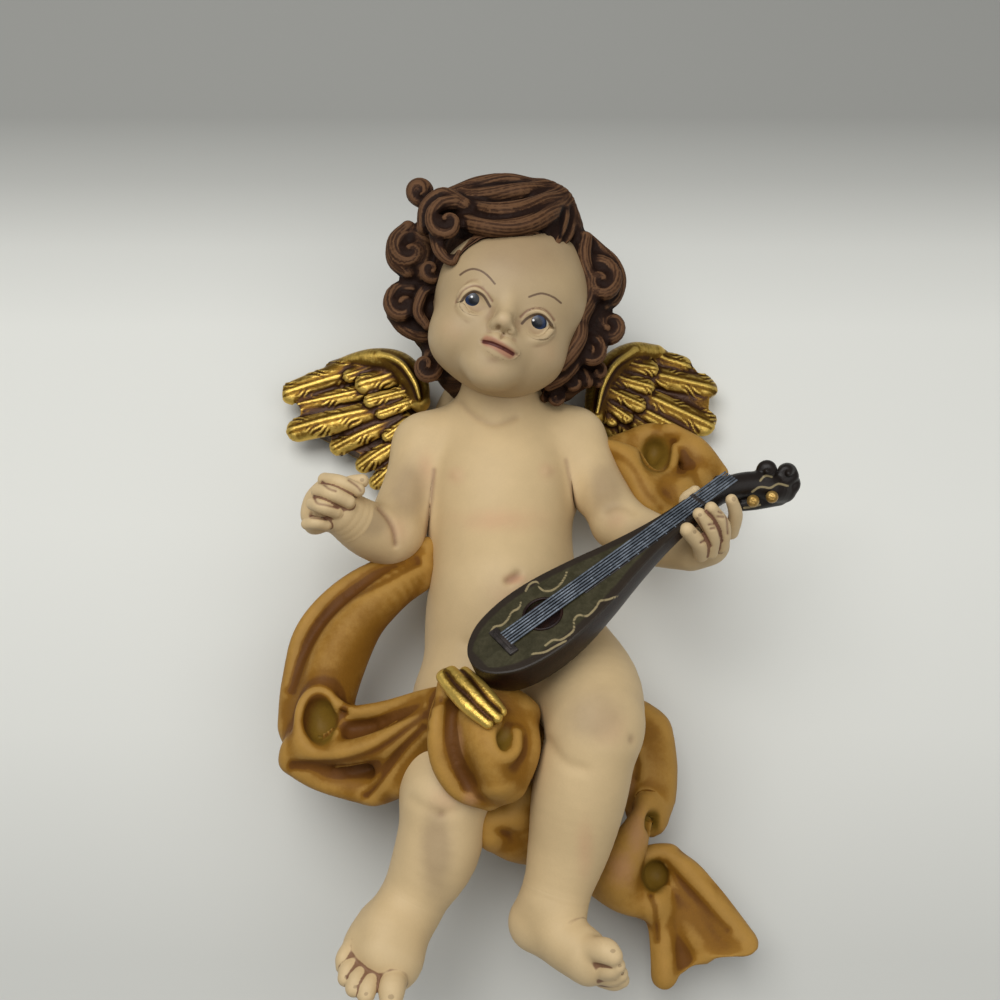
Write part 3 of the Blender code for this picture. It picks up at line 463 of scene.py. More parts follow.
class Carving:
    # a casting while it is worked on: its points in millimetres and its layers of paint and painted shade
    def __init__(self, made):
        self.made = made
        self.count = len(made.data.vertices)
        self.points = self.read("vertices", "co", self.count)
        self.normals = self.read("vertices", "normal", self.count)
        edges = np.empty(len(made.data.edges) * 2, np.int32)
        made.data.edges.foreach_get("vertices", edges)
        self.edges = edges.reshape(-1, 2).T
        self.spots = seen(self.points)
        self.facing = ((EYE - self.points) * self.normals).sum(1) > 0
        self.layers = {}
        self.vectors = {}

    def read(self, kind, what, count):
        flat = np.empty(count * 3, np.float32)
        getattr(self.made.data, kind).foreach_get(what, flat)
        return flat.reshape(-1, 3).astype(float)

    def put_back(self):
        self.made.data.vertices.foreach_set("co", self.points.astype(np.float32).ravel())
        self.made.data.update()

    def layer(self, name):
        return self.layers.setdefault(name, np.zeros(self.count))

    def push(self, amount):
        self.points = self.points + self.normals * amount[:, None]

    def groove(self, deep, width, *rows, wash=0.0, name="painted_shade"):
        # a carved line along a route on the drawing, darkened along it as painted shade in the crease unless
        # another paint layer is named
        share = line_share(self.spots, rows, width) * self.facing
        self.push(-deep * share)
        if wash:
            self.layers[name] = np.maximum(self.layer(name), wash * share)

    def patch(self, u, v, wide, tall=None):
        # how far into a soft round patch of the drawing each point lies
        gap = (self.spots - (u, v)) / (wide, tall or wide)
        return np.exp(-(gap * gap).sum(1)) * self.facing

    def spot(self, name, strength, u, v, wide, tall=None):
        share = self.patch(u, v, wide, tall)
        self.layers[name] = np.maximum(self.layer(name), strength * share)
        return share

    def smoothed(self, values, rounds):
        a, b = self.edges
        share = np.bincount(a, minlength=self.count) + np.bincount(b, minlength=self.count)
        for _ in range(rounds):
            sums = [np.bincount(a, row[b], self.count) + np.bincount(b, row[a], self.count)
                    for row in values.T]
            values = np.stack(sums, 1) / np.maximum(share, 1)[:, None]
        return values

    def relaxed(self, rounds):
        # points eased half way towards the middle of their neighbours
        points = self.points
        for _ in range(rounds):
            points = 0.5 * points + 0.5 * self.smoothed(points, 1)
        return points

    def hollows(self, name, rounds, depth):
        # how far each point lies below (or above) its neighbourhood, as a share of a depth
        off = ((self.smoothed(self.points, rounds) - self.points) * self.normals).sum(1)
        self.layers[name] = np.clip(off / depth, -1, 1)

    def finish(self, colours, slot):
        # flattens what would pass the solids' box, scales to metres and stores the layers
        self.points = np.clip(self.points, SOLID_LOW, SOLID_HIGH)
        self.points = self.points * MILLIMETRE
        self.put_back()
        for name, values in self.layers.items():
            stored = self.made.data.attributes.new(name, "FLOAT", "POINT")
            stored.data.foreach_set("value", values.astype(np.float32))
        for name, values in self.vectors.items():
            stored = self.made.data.attributes.new(name, "FLOAT_VECTOR", "POINT")
            stored.data.foreach_set("vector", values.astype(np.float32).ravel())
        self.made.data.materials.clear()
        self.made.data.materials.append(colours)
        self.made.data.shade_smooth()
        placed(self.made, slot)


def placed(made, slot):
    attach(made, "root")
    PIECES[slot].append(made)


PIECES = {"painted_resin": [], "mandolin_paint": []}


def seen(points):
    # where points stand on the front drawing: u across, v down
    away = points - EYE
    far = away @ LOOK
    return np.stack([(0.5 + EYE_LENS * away[:, 0] / far) * SHEET,
                     (0.5 - EYE_LENS * (away @ UP) / far) * SHEET], 1)


LINE_FADE = 3.2          # a carved line has faded out at this many times its width


def line_gap(spots, rows, reach):
    # distance on the drawing to a smooth route, no more than reach
    route = spline(rows, 5)
    gap = np.full(len(spots), float(reach))
    near = ((spots > route.min(0) - reach) & (spots < route.max(0) + reach)).all(1)
    best = gap[near]
    for a, b in zip(route[:-1], route[1:]):
        run = b - a
        along = np.clip((spots[near] - a) @ run / (run @ run), 0, 1)
        best = np.minimum(best, np.linalg.norm(spots[near] - a - along[:, None] * run, axis=1))
    gap[near] = best
    return gap


def line_share(spots, rows, width):
    gap = line_gap(spots, rows, LINE_FADE * width) / width
    return np.where(gap < LINE_FADE, np.exp(-gap * gap), 0.0)


# Body: every row of a limb is a place on the drawing and a radius

def torso():
    chest = ball(501, 470, 22, (27, 25, 27), blend=12)
    waist = ball(500, 520, 23, (27, 25.5, 28), blend=12)
    belly = ball(504, 600, 25, (28, 31.5, 31), blend=12)
    hips = ball(506, 655, 26, (28.5, 24, 27), blend=10)
    neck = limb((497, 440, 26, 15.5), (500, 385, 38, 14.5), blend=7)
    flat_back = ball(501, 450, 4, (30, 10, 43), blend=8)
    left_shoulder = limb((470, 432, 23, 11.5), (430, 446, 25, 11.5), blend=11)
    right_shoulder = limb((530, 428, 23, 11.5), (568, 439, 25, 11.5), blend=11)
    return [chest, waist, belly, hips, neck, flat_back, left_shoulder, right_shoulder]


def arms():
    left_upper = limb((425, 448, 25, 12.5), (410, 485, 29, 10), (394, 530, 33, 10.6), blend=7)
    left_fore = limb((390, 538, 34, 11), (366, 528, 42, 10), (342, 512, 52, 8.0), blend=3.5)
    right_upper = limb((575, 442, 25, 12), (595, 480, 29, 10), (617, 520, 35, 9.8), blend=7)
    right_fore = limb((620, 524, 37, 9.8), (655, 540, 45, 9.2), (690, 548, 53, 8.0), blend=3.5)
    return [left_upper, left_fore, right_upper, right_fore]


def legs():
    right_thigh = limb((560, 655, 36, 19), (585, 690, 50, 18.5), (596, 722, 62, 15.8), blend=8)
    right_shin = limb((592, 742, 63, 14.2), (580, 790, 56, 15.2), (570, 840, 49, 13.4),
                      (556, 893, 45, 10.3), blend=4)
    left_thigh = limb((468, 705, 30, 20), (455, 745, 40, 17.5), (446, 790, 47, 14.5), blend=8)
    left_shin = limb((446, 800, 47, 13.6), (437, 850, 44, 13.8), (415, 895, 41, 10.5), (407, 912, 40, 9.3),
                     blend=5)
    return [right_thigh, right_shin, left_thigh, left_shin]


def right_foot():
    heel = ball(530, 922, 40, (7, 7.5, 8), blend=4)
    instep = limb((552, 905, 44, 9.5), (562, 935, 47, 8.5), (583, 952, 51, 7.6), blend=5)
    sole = limb((540, 930, 41, 6.5), (570, 950, 45, 6.5), (590, 965, 50, 6), blend=4)
    big_toe = limb((594, 949, 57, 3.6), (606, 951, 60, 3.8), (613, 956, 61, 3.0), blend=1.5)
    toes = [
        limb((598, 968, 53, 3.4), (610, 969, 57, 3.2), (617, 966, 59, 2.6), blend=1.0),
        limb((600, 974, 51, 3.0), (612, 976, 54, 3.0), (620, 974, 56, 2.5), blend=1.0),
        limb((602, 979, 48, 2.6), (614, 982, 51, 2.6), (622, 980, 53, 2.3), blend=1.0),
    ]
    return [heel, instep, sole, big_toe] + toes


def left_foot():
    instep = limb((407, 912, 40, 9.5), (392, 930, 44, 10.5), (385, 950, 47, 9.5), blend=5)
    outer_edge = limb((375, 925, 40, 6), (362, 945, 44, 6), (358, 960, 46, 4.5), blend=4)
    inner_edge = limb((400, 935, 43, 8), (398, 960, 46, 8), (394, 975, 48, 5.5), blend=4)
    big_toe = limb((394, 975, 50, 4.4), (392, 988, 54, 4.2), (391, 999, 55, 3.5), blend=0.8)
    toes = [
        limb((352, 948, 47, 3.2), (345, 958, 49, 2.9), (344, 966, 49, 2.6), blend=0.8),
        limb((358, 960, 48, 3.2), (349, 970, 51, 3.0), (346, 978, 52, 2.6), blend=0.8),
        limb((366, 968, 49, 3.3), (357, 980, 53, 3.1), (354, 988, 54, 2.7), blend=0.8),
        limb((376, 975, 50, 3.3), (368, 987, 54, 3.1), (366, 995, 55, 2.7), blend=0.8),
    ]
    return [instep, outer_edge, inner_edge, big_toe] + toes


def fist():
    palm = ball(331, 507, 50, (7.2, 8.5, 8.2), blend=2.5)
    back = limb((326, 485, 52, 3.0), (314, 498, 51, 3.2), (309, 514, 50, 3.0), (313, 525, 49, 2.8),
                blend=2.5)
    heel = ball(316, 526, 49, (3.6, 4.4, 2.6), blend=2)
    thumb = limb((338, 492, 50, 3.2), (350, 484, 54, 2.9), (362, 481, 56, 2.5), blend=0.8)
    fingers = [
        limb((325, 480, 57, 2.6), (340, 483, 61, 2.8), (358, 490, 59, 2.5), blend=0.8),
        limb((318, 491, 59, 2.5), (332, 494, 63, 2.7), (349, 502, 60, 2.4), blend=0.8),
        limb((313, 504, 59, 2.3), (323, 507, 62, 2.5), (336, 512, 59, 2.3), blend=0.8),
        limb((307, 524, 56, 2.1), (316, 523, 58, 2.2), (326, 525, 56, 2.0), blend=0.8),
    ]
    return [palm, back, heel, thumb] + fingers


def holding_hand():
    palm = ball(706, 545, 57, (8, 8.5, 7.2), blend=2.5)
    thumb = limb((700, 530, 58, 2.8), (686, 503, 66, 2.5), (695, 492, 69, 2.2), blend=0.8)
    fingers = [
        limb((731, 532, 62, 2.6), (735.5, 515, 70, 2.4), (731.5, 500, 76, 2.0), blend=0.8),
        limb((722, 546, 64, 2.4), (723, 526, 72, 2.5), (711, 508, 79, 2.1), blend=0.8),
        limb((711, 552, 65, 2.4), (712, 533, 73, 2.5), (699, 514, 79, 2.1), blend=0.8),
        limb((701, 555, 64, 2.5), (699, 544, 70, 2.7), (687, 530, 76, 2.5), blend=0.8),
    ]
    return [palm, thumb] + fingers


# Head

EYE_BALLS = ((474, 300), (537, 322))


def skull():
    crown = head_ball(0, -3, 7, (30.5, 33, 34))
    brow = head_ball(-0.5, 14, 3, (26.5, 20.5, 22), blend=8)
    middle = head_ball(-0.6, 12, -13, (23.6, 19, 18), blend=8)
    cheeks = [head_ball(x, 16, up, (13, 13, 12.5), blend=6) for x, up in ((-12.5, -18.5), (11.2, -17.5))]
    jaw = head_ball(1.0, 13, -24.2, (15, 14, 10.2), blend=6)
    chin = face_ball(489, 372, 25.4, (7.6, 6.0, 6.2), blend=7)
    under_lip = face_ball(493, 360, 25.6, (8.0, 5.4, 5.0), blend=7)
    muzzle = face_ball(500, 342, 27.0, (9.0, 6.2, 6.5), blend=6)
    ears = [head_ball(-29.5, 2, -1, (4, 5, 8), blend=2), head_ball(28, 3, 4, (4, 5, 8), blend=2)]
    return [crown, brow, middle, *cheeks, jaw, chin, under_lip, muzzle, *ears]


def face():
    bridge = face_limb((508, 300, 30.3, 2.2), (506, 311, 33.0, 2.2), (504, 318, 35.6, 2.4), blend=5)
    tip = face_ball(503.5, 321.5, 36.0, (2.9, 2.8, 2.6), blend=2.5)
    wings = [face_ball(u, v, 34.0, (2.0, 2.4, 1.8), blend=2.0) for u, v in ((496.5, 324.5), (511, 330.5))]
    upper_lip = face_limb((482, 341, 31.0, 0.8), (489, 340, 32.8, 1.3), (495, 339.5, 33.9, 1.6),
                          (500, 342, 34.2, 1.5), (506, 344, 33.9, 1.6), (511, 348, 32.8, 1.3),
                          (516, 353, 31.0, 0.8), blend=2.0)
    lower_lip = face_limb((487, 346, 31.0, 0.9), (492, 348.5, 32.2, 1.3), (498, 351.5, 32.8, 1.6),
                          (505, 354.5, 32.2, 1.4), (511, 355.5, 30.8, 0.9), blend=3.0)
    eyes = [face_ball(u, v, 26.3, (5.0, 4.8, 4.8), blend=1) for u, v in EYE_BALLS]
    return [bridge, tip, *wings, upper_lip, lower_lip, *eyes]


def lids():
    upper = [
        face_limb((460, 302, 29.0, 0.6), (464.5, 295, 31.0, 0.9), (474, 289.5, 32.2, 1.0),
                  (483, 293.5, 32.0, 1.0),
                  (489, 301.5, 30.9, 0.8), (491, 308, 29.6, 0.5), blend=1.6),
        face_limb((459, 297, 29.2, 0.9), (463, 291, 30.6, 1.2), (470, 286.5, 31.3, 1.3),
                  (478, 286, 31.3, 1.1),
                  blend=1.6),
        face_limb((521, 324, 29.6, 0.5), (525, 317.5, 30.9, 0.8), (532.5, 312.5, 32.0, 1.0),
                  (541, 312, 32.2, 1.0), (549, 318, 31.0, 0.9), (553, 326, 29.0, 0.6), blend=1.6),
    ]
    lower = [
        face_limb((462, 306, 29.3, 0.6), (467, 312, 30.3, 0.7), (475, 315, 30.8, 0.7),
                  (483, 314.5, 30.4, 0.7),
                  (490, 311.5, 29.5, 0.5), blend=3.0),
        face_limb((522, 328, 29.5, 0.5), (528, 335, 30.4, 0.7), (536, 338, 30.8, 0.7),
                  (545, 336.5, 30.3, 0.7), (551.5, 331, 29.3, 0.6), blend=3.0),
    ]
    return upper + lower


def face_cuts():
    sockets = [face_ball(u, v, 37.4, (7.2, 6, 5.0), blend=3.0) for u, v in ((475.8, 301.5), (536.5, 323.5))]
    nostrils = [face_ball(u, v, 36.0, (0.9, 1.8, 0.7), blend=0.8)
                for u, v in ((498.3, 327.6), (509.6, 331.4))]
    return [taken_out(form) for form in sockets + nostrils]


SCALP = Ball(in_head(-3.8, -4, 12.2), (33.2, 34.8, 37.8), HEAD_AXES)


def on_scalp(u, v, lift):
    # the point of the scalp seen at u, v, lifted off it
    ray = view_ray(u, v) @ SCALP.axes.T / SCALP.radii
    start = (EYE - SCALP.middle) @ SCALP.axes.T / SCALP.radii
    a, b, c = ray @ ray, 2 * start @ ray, start @ start - 1
    reach = (-b - math.sqrt(max(b * b - 4 * a * c, 0))) / (2 * a)
    place = start + reach * ray
    slope = (place / SCALP.radii) @ SCALP.axes
    return (place * SCALP.radii) @ SCALP.axes + SCALP.middle + lift * slope / np.linalg.norm(slope)


def lock(*rows, blend=1.2):
    return Limb([(*on_scalp(u, v, lift), r) for u, v, lift, r in rows], blend)


def curl(u, v, d, size, thick, turns=1.3, start=0.0, way=1, tall=1.0):
    # a lock that winds inwards and stands up towards its middle
    rows = []
    for t in np.linspace(0, 1, 12):
        angle = math.radians(start) + way * t * turns * math.tau
        reach = size * (1 - 0.8 * t)
        rows.append((u + reach * math.cos(angle), v + reach * math.sin(angle) * tall, d + 4 * t,
                     thick * (1 - 0.4 * t)))
    return limb(*rows, blend=1.8, steps=2)


def hair_mass():
    crown = head_ball(-4.4, -5, 13.2, (31.8, 33.5, 36), blend=3)
    nape = head_ball(0, -16, -2, (33, 26, 33), blend=3)
    behind_neck = ball(505, 330, 15, (30, 17, 33), blend=4)
    left = [ball(424, 258, 48, (9, 13, 17), blend=3), ball(427, 318, 42, (8, 13, 14), blend=3),
            ball(434, 362, 36, (6, 10, 8), blend=3)]
    right = [ball(594, 284, 46, (9.5, 15, 14.5), blend=3), ball(590, 322, 42, (10, 14, 17), blend=3),
             ball(577, 362, 34, (11, 12, 12), blend=3), ball(560, 384, 30, (9, 10, 8), blend=3)]
    return [crown, nape, behind_neck, *left, *right]


def fringe():
    # swept from the parting over the brow, lowest lock first
    swept = [
        lock((566, 203, 0, 4.2), (540, 222, 1, 4.4), (505, 231, 1.5, 4.2), (476, 228, 1.5, 4.2),
             (452, 214, 0.5, 4),
             blend=2.5),
        lock((560, 195, 0, 4.2), (530, 209, 1, 4.5), (495, 215, 1.5, 4.5), (460, 208, 0.5, 4.2), blend=3.5),
        lock((548, 190, 0, 4.5), (518, 195, 1, 4.5), (483, 199, 1, 4.5), (451, 200, 0, 4.2), blend=3.5),
        lock((536, 185, -1, 4.5), (506, 182, 0, 4.5), (476, 186, 0, 4.5), (448, 194, -1, 4), blend=3.5),
    ]
    forelock = [
        lock((560, 200, 0, 3.4), (557, 214, -0.5, 3.2), (553, 226, -1.8, 2.6), (548, 236, -3.2, 1.6)),
        lock((563, 202, 0, 3.4), (564, 218, -0.3, 3.4), (561, 236, -1.6, 2.8), (556, 251, -3.2, 1.6)),
        lock((568, 206, 0, 3.4), (572, 222, -0.4, 3.2), (572, 234, -1.4, 2.6), (568, 242, -2.6, 1.7)),
    ]
    down_right = [
        lock((563, 200, 0, 3.5), (573, 217, -0.5, 3.8), (580, 236, -1.0, 3.6), (584, 254, -1.5, 3.2),
             blend=2),
        lock((562, 200, -1, 3.5), (573, 216, -1, 3.8), (582, 236, -1.5, 4), (594, 252, -2, 4), blend=2),
        lock((546, 186, -1, 3.6), (561, 194, -1, 3.6), (570, 208, -1, 3.6), (579, 229, -2, 3.6), blend=3),
    ]
    return [*swept, *forelock, *down_right]


def curls():
    top_ball = [ball(420, 192, 63, (6.6, 6.0, 6.8), blend=1.5),
                curl(420, 192, 64, 12, 2.8, turns=1.1, start=30),
                limb((424, 200, 63, 4.5), (438, 209, 66, 5), (456, 214, 68, 4.5), blend=2)]
    temple = [curl(447, 222, 74, 20, 3.9, turns=1.15, start=-70, way=-1),
              limb((464, 206, 73, 4.2), (444, 196, 71, 4.4), (428, 208, 70, 4.4), (424, 228, 69, 4),
                   blend=2),
              limb((436, 236, 72, 3.8), (440, 252, 73, 3.4), (452, 262, 74, 2.6), (459, 252, 75, 2.0),
                   blend=1.4)]
    left = [
        curl(410, 252, 55, 17, 4.6, turns=1.15, start=-40, way=-1), curl(431, 270, 61, 11, 3.4, turns=1.1),
        limb((408, 228, 57, 4), (396, 241, 55, 4.4), (395, 260, 54, 4.4), (408, 273, 54, 4), blend=2),
        curl(403, 305, 50, 16, 4.6, turns=1.15, start=-60, way=-1, tall=1.05),
        limb((434, 286, 58, 3.2), (423, 294, 57, 3.4), (418, 312, 55, 3.4), (427, 326, 54, 2.8), blend=1.5),
        limb((394, 316, 48, 3.8), (404, 327, 47, 4.2), (418, 334, 46, 4.0), (431, 333, 46, 3.4), blend=2),
        curl(426, 366, 46, 12, 3.8, turns=1.1, start=-30, tall=1.2),
    ]
    edge = [
        limb((586, 238, 61, 3.6), (585, 262, 61, 3.8), (590, 284, 59, 4.0), (588, 302, 58, 4.0),
             (581, 318, 58, 3.6),
             blend=2),
        limb((592, 296, 56, 4.2), (581, 318, 57, 4.2), (579, 338, 57, 4.2), (571, 354, 56, 4.0),
             (562, 366, 54, 3.4),
             blend=1.6),
        limb((583, 342, 52, 4.2), (574, 362, 51, 4.2), (563, 376, 49, 4.0), (549, 386, 47, 3.2), blend=1.6),
    ]
    right = [
        curl(601, 282, 57, 18, 4.8, turns=1.25, start=-150, tall=1.1),
        limb((587, 240, 56, 4), (600, 253, 55, 4.4), (612, 265, 53, 4.6), (618, 281, 51, 4.4),
             (614, 298, 50, 4),
             (604, 306, 53, 3.4), blend=2),
        curl(609, 326, 48, 15, 4.4, turns=1.15, start=180, way=-1),
        curl(590, 352, 50, 13, 3.8, turns=1.2, start=-90),
        curl(575, 382, 43, 12, 3.6, turns=1.1, way=-1), curl(598, 372, 40, 10, 3.4, start=90),
        curl(555, 398, 40, 10, 3.0, start=180),
    ]
    return top_ball + temple + left + edge + right


# Wings: a back plate, overlapping feathers, coverts over their roots and a rolled front edge

def left_wing():
    plate = Sheet([(425, 395, 5), (404, 362, 5), (372, 358, 6), (330, 372, 6), (304, 390, 6), (302, 426, 6),
                   (330, 440, 6), (362, 458, 6), (386, 476, 5), (412, 450, 5)], 4.6, blend=3)
    feathers = [
        feather((386, 366, 12, 4.4), (334, 376, 11, 5.0), (293, 393, 9, 5.4)),
        feather((372, 390, 12, 3.8), (308, 404, 9, 3.9)),
        feather((378, 410, 14, 4.6), (334, 422, 13, 5.4), (299, 430, 10, 5.4)),
        feather((402, 418, 13, 3.8), (366, 434, 12, 4.2), (339, 447, 9, 4.0)),
        feather((402, 440, 12, 3.6), (380, 455, 11, 4.0), (364, 465, 9, 3.8)),
        feather((402, 460, 11, 3.0), (390, 471, 10, 3.6), (377, 482, 8, 3.6)),
    ]
    coverts = [
        feather((358, 362, 12, 2.8), (332, 370, 10, 2.8)),
        feather((378, 360, 13, 2.8), (348, 368, 12, 2.8)),
        feather((390, 364, 15, 3.2), (350, 376, 14, 3.2)),
        feather((388, 378, 16, 4.4), (366, 384, 16, 4.8)),
        feather((398, 394, 17, 3.0), (371, 401, 17, 3.3)),
        feather((404, 405, 17, 2.8), (382, 413, 16, 3.0)),
        feather((406, 424, 15, 2.8), (388, 436, 14, 2.8)),
    ]
    band = limb((420, 402, 15, 4.4), (414, 382, 16, 5.8), (399, 366, 16, 6.0), (377, 360, 15, 5.0),
                (354, 362, 12, 3.8), (334, 369, 9, 2.4), blend=3, steps=8)
    rim = limb((419.5, 398, 20.5, 0.9), (415, 383, 22.0, 1.2), (404, 366, 22.5, 1.2), (392, 358, 21.5, 1.1),
               (380, 355, 19.5, 0.8), blend=1.6)
    return [plate, *feathers, *coverts, band, rim]


def right_wing():
    plate = Sheet([(590, 430, 5), (602, 385, 5), (622, 358, 6), (650, 354, 6), (688, 368, 6), (708, 392, 6),
                   (706, 420, 6), (684, 434, 6), (640, 434, 5)], 4.6, blend=3)
    feathers = [
        feather((634, 352, 12, 4.0), (680, 366, 10, 4.9)),
        feather((636, 372, 13, 4.6), (702, 388, 9, 5.6)),
        feather((634, 392, 13, 4.6), (702, 424, 8, 5.6)),
        feather((628, 404, 13, 4.0), (684, 433, 8, 4.6)),
        feather((620, 412, 13, 3.6), (652, 432, 8, 4.0)),
        feather((612, 415, 12, 3.2), (632, 434, 8, 3.6)),
        feather((603, 415, 12, 3.0), (614, 433, 8, 3.2)),
    ]
    coverts = [
        feather((618, 364, 17, 3.6), (650, 369, 15, 3.8)),
        feather((614, 378, 17, 3.6), (646, 387, 15, 3.8)),
        feather((610, 392, 17, 3.4), (638, 405, 15, 3.6)),
        feather((604, 402, 16, 3.0), (626, 417, 14, 3.2)),
        feather((600, 408, 15, 2.6), (612, 421, 13, 2.8)),
    ]
    band = limb((594, 416, 15, 4.2), (600, 387, 16, 5.6), (613, 367, 16, 6.0), (633, 354, 15, 5.0),
                (656, 353, 12, 3.6), blend=3, steps=8)
    rim = limb((597, 413, 20.5, 0.9), (603, 386, 22.0, 1.2), (615, 365, 22.5, 1.2), (635, 350, 19.5, 0.8),
               blend=1.6)
    return [plate, *feathers, *coverts, band, rim]


# Drapery: each piece of cloth is a backing with folds laid over it

def loop_cloth():
    # hangs from the waist in a loop beside the hip and comes back to the lap
    backing = Sheet([(428, 552, 24), (390, 566, 27), (345, 592, 30), (309, 638, 31), (296, 690, 31),
                     (296, 742, 31),
                     (314, 768, 32), (384, 784, 36), (420, 765, 42), (440, 712, 46), (386, 716, 42),
                     (340, 716, 36),
                     (345, 662, 33), (366, 615, 30), (425, 572, 26)], 5.5, blend=3)
    outer_fold = limb((425, 548, 30, 4), (395, 563, 32, 5), (355, 580, 34, 5.3), (320, 608, 36, 5.3),
                      (299, 642, 36, 5.3), (292, 690, 34, 5), (290, 725, 34, 5), blend=9)
    middle_fold = limb((424, 568, 34, 5), (393, 590, 38, 8.5), (357, 622, 39, 10), (334, 658, 39, 10.5),
                       (320, 700, 38, 10), blend=6)
    inner_fold = limb((424, 584, 33, 4), (397, 597, 34, 5), (371, 626, 35, 5.5), (354, 664, 36, 6),
                      (338, 696, 36, 6.5), blend=6)
    dish = ball(319, 722, 33, (12.5, 14, 15), blend=3)
    rim = limb(*[(319 + 19 * math.cos(a), 721 + 29 * math.sin(a), 46.5, 4.4)
                 for a in np.linspace(0.5, 5.7, 12)],
               blend=3.0, steps=2)
    to_lap = [
        limb((346, 714, 46, 4.5), (385, 709, 50, 5.0), (430, 697, 56, 5.2), (470, 690, 60, 5)),
        limb((295, 748, 42, 6.5), (340, 754, 50, 6.5), (385, 742, 54, 6.5), (430, 715, 60, 6)),
        limb((373, 797, 44, 4), (385, 777, 48, 5), (405, 753, 52, 5), (430, 732, 58, 5)),
        limb((400, 785, 46, 5.5), (416, 766, 50, 5.5), (430, 750, 52, 6)),
        limb((345, 733, 38, 8), (390, 730, 43, 8), (435, 716, 50, 8), blend=4),
    ]
    hem = limb((290, 763, 40, 5.5), (320, 781, 42, 5.5), (360, 792, 41, 5.5), (388, 790, 40, 5.5),
               (412, 768, 42, 6))
    under_lap = limb((345, 755, 26, 10), (380, 755, 28, 12), (430, 735, 28, 16), (480, 730, 36, 16))
    behind_waist = limb((430, 575, 8, 9), (500, 545, 6, 9), (590, 470, 8, 9))
    return [backing, outer_fold, middle_fold, inner_fold, dish, rim, *to_lap, hem, under_lap, behind_waist]


def knot_cloth():
    # the gathered pouch at the lap, with its gilded border at the top
    pouch = ball(486, 744, 57, (16.5, 20, 16), blend=8)
    behind_pouch = ball(522, 745, 34, (13, 16, 15), blend=4)
    left_roll = limb((448, 684, 66, 4.5), (437, 720, 70, 5), (439, 760, 68, 5.2), (458, 790, 65, 5.2),
                     (488, 802, 62, 5))
    middle_roll = limb((474, 715, 72, 5), (490, 750, 75, 7), (498, 782, 71, 7), blend=8)
    right_roll = limb((522, 715, 64, 6), (526, 750, 66, 6.5), (512, 785, 64, 6.5), blend=8)
    top_roll = limb((452, 682, 66, 5), (495, 690, 66, 6), (527, 712, 60, 6))
    curled_rim = limb((492, 732, 77, 3.6), (497, 748, 78, 3.9), (507, 757, 77, 3.9), (516, 749, 75, 3.9),
                      (517, 734, 73, 3.6), blend=2.5)
    return [behind_pouch, pouch, left_roll, middle_roll, right_roll, top_roll, curled_rim]


def gilt_border():
    # three gilded ribs along the top of the pouch
    return [
        limb((442, 677, 73, 1.9), (452, 690, 75.5, 2.2), (468, 707, 79, 2.3), (488, 724, 80, 1.7),
             blend=0.9),
        limb((452, 672, 73, 2.0), (464, 685, 76, 2.5), (480, 702, 79, 2.4), (497, 718, 80, 1.8), blend=0.9),
        limb((465, 672, 72, 1.8), (476, 683, 75.5, 2.2), (490, 698, 78.5, 2.1), (502, 712, 79, 1.6),
             blend=0.9),
        limb((446, 676, 71.5, 2.4), (468, 694, 74.5, 3.6), (492, 716, 77, 3), blend=1.5),
    ]


def lower_cloth():
    # falls between the shins, and beside the knee in a swirl
    between = [
        limb((490, 830, 46, 5), (492, 820, 48, 5), (510, 815, 48, 5)),
        limb((492, 838, 42, 5), (512, 846, 36, 5.5), (532, 850, 30, 5)),
        limb((522, 795, 46, 7), (522, 828, 38, 8), (535, 842, 24, 8), (600, 860, 14, 10),
             (630, 870, 18, 9)),
    ]
    swirl = Sheet([(610, 730, 16), (636, 714, 18), (656, 729, 19), (660, 766, 20), (658, 797, 20),
                   (648, 818, 20),
                   (636, 812, 20), (620, 800, 18)], 5.4, blend=3)
    swirl_edge = limb((634, 715, 20, 4.5), (651, 728, 21, 5), (657, 762, 22, 5.5), (655, 796, 22, 5.5),
                      (647, 820, 20, 4.5), blend=8)
    swirl_fold = limb((628, 735, 22, 6), (640, 765, 23, 6), (643, 798, 22, 5), blend=8)
    inner_band = limb((646, 805, 30, 3.4), (637, 828, 31, 5.4), (626, 852, 30, 7.4), (617, 876, 27, 8.4))
    foot_band = limb((600, 884, 22, 5.5), (625, 898, 24, 6), (652, 903, 22, 6))
    hollow_lip = limb((648, 802, 29, 2.4), (656, 808, 27, 2.4), (658, 822, 24, 2.6))
    return [*between, swirl, swirl_edge, swirl_fold, inner_band, foot_band, hollow_lip]


def tail_cloth():
    # the free end, spread out beside the foot
    spread = Sheet([(650, 852, 16), (672, 853, 20), (716, 898, 20), (752, 950, 20), (742, 956, 20),
                    (707, 957, 17),
                    (682, 971, 16), (664, 986, 18), (655, 968, 16), (652, 927, 14)], 3.8, 1.2, 1.6, blend=2)
    folds = [
        limb((655, 855, 22, 3.4), (672, 857, 23, 3.6), (708, 895, 23, 3.6), (747, 942, 22, 3.0), blend=6),
        limb((652, 900, 21, 4), (662, 925, 21, 3.8), (664, 978, 20, 3.0), blend=6),
        limb((668, 895, 19, 3.4), (690, 930, 20, 3.4), (702, 952, 19, 2.8), blend=6),
    ]
    return [spread, *folds]


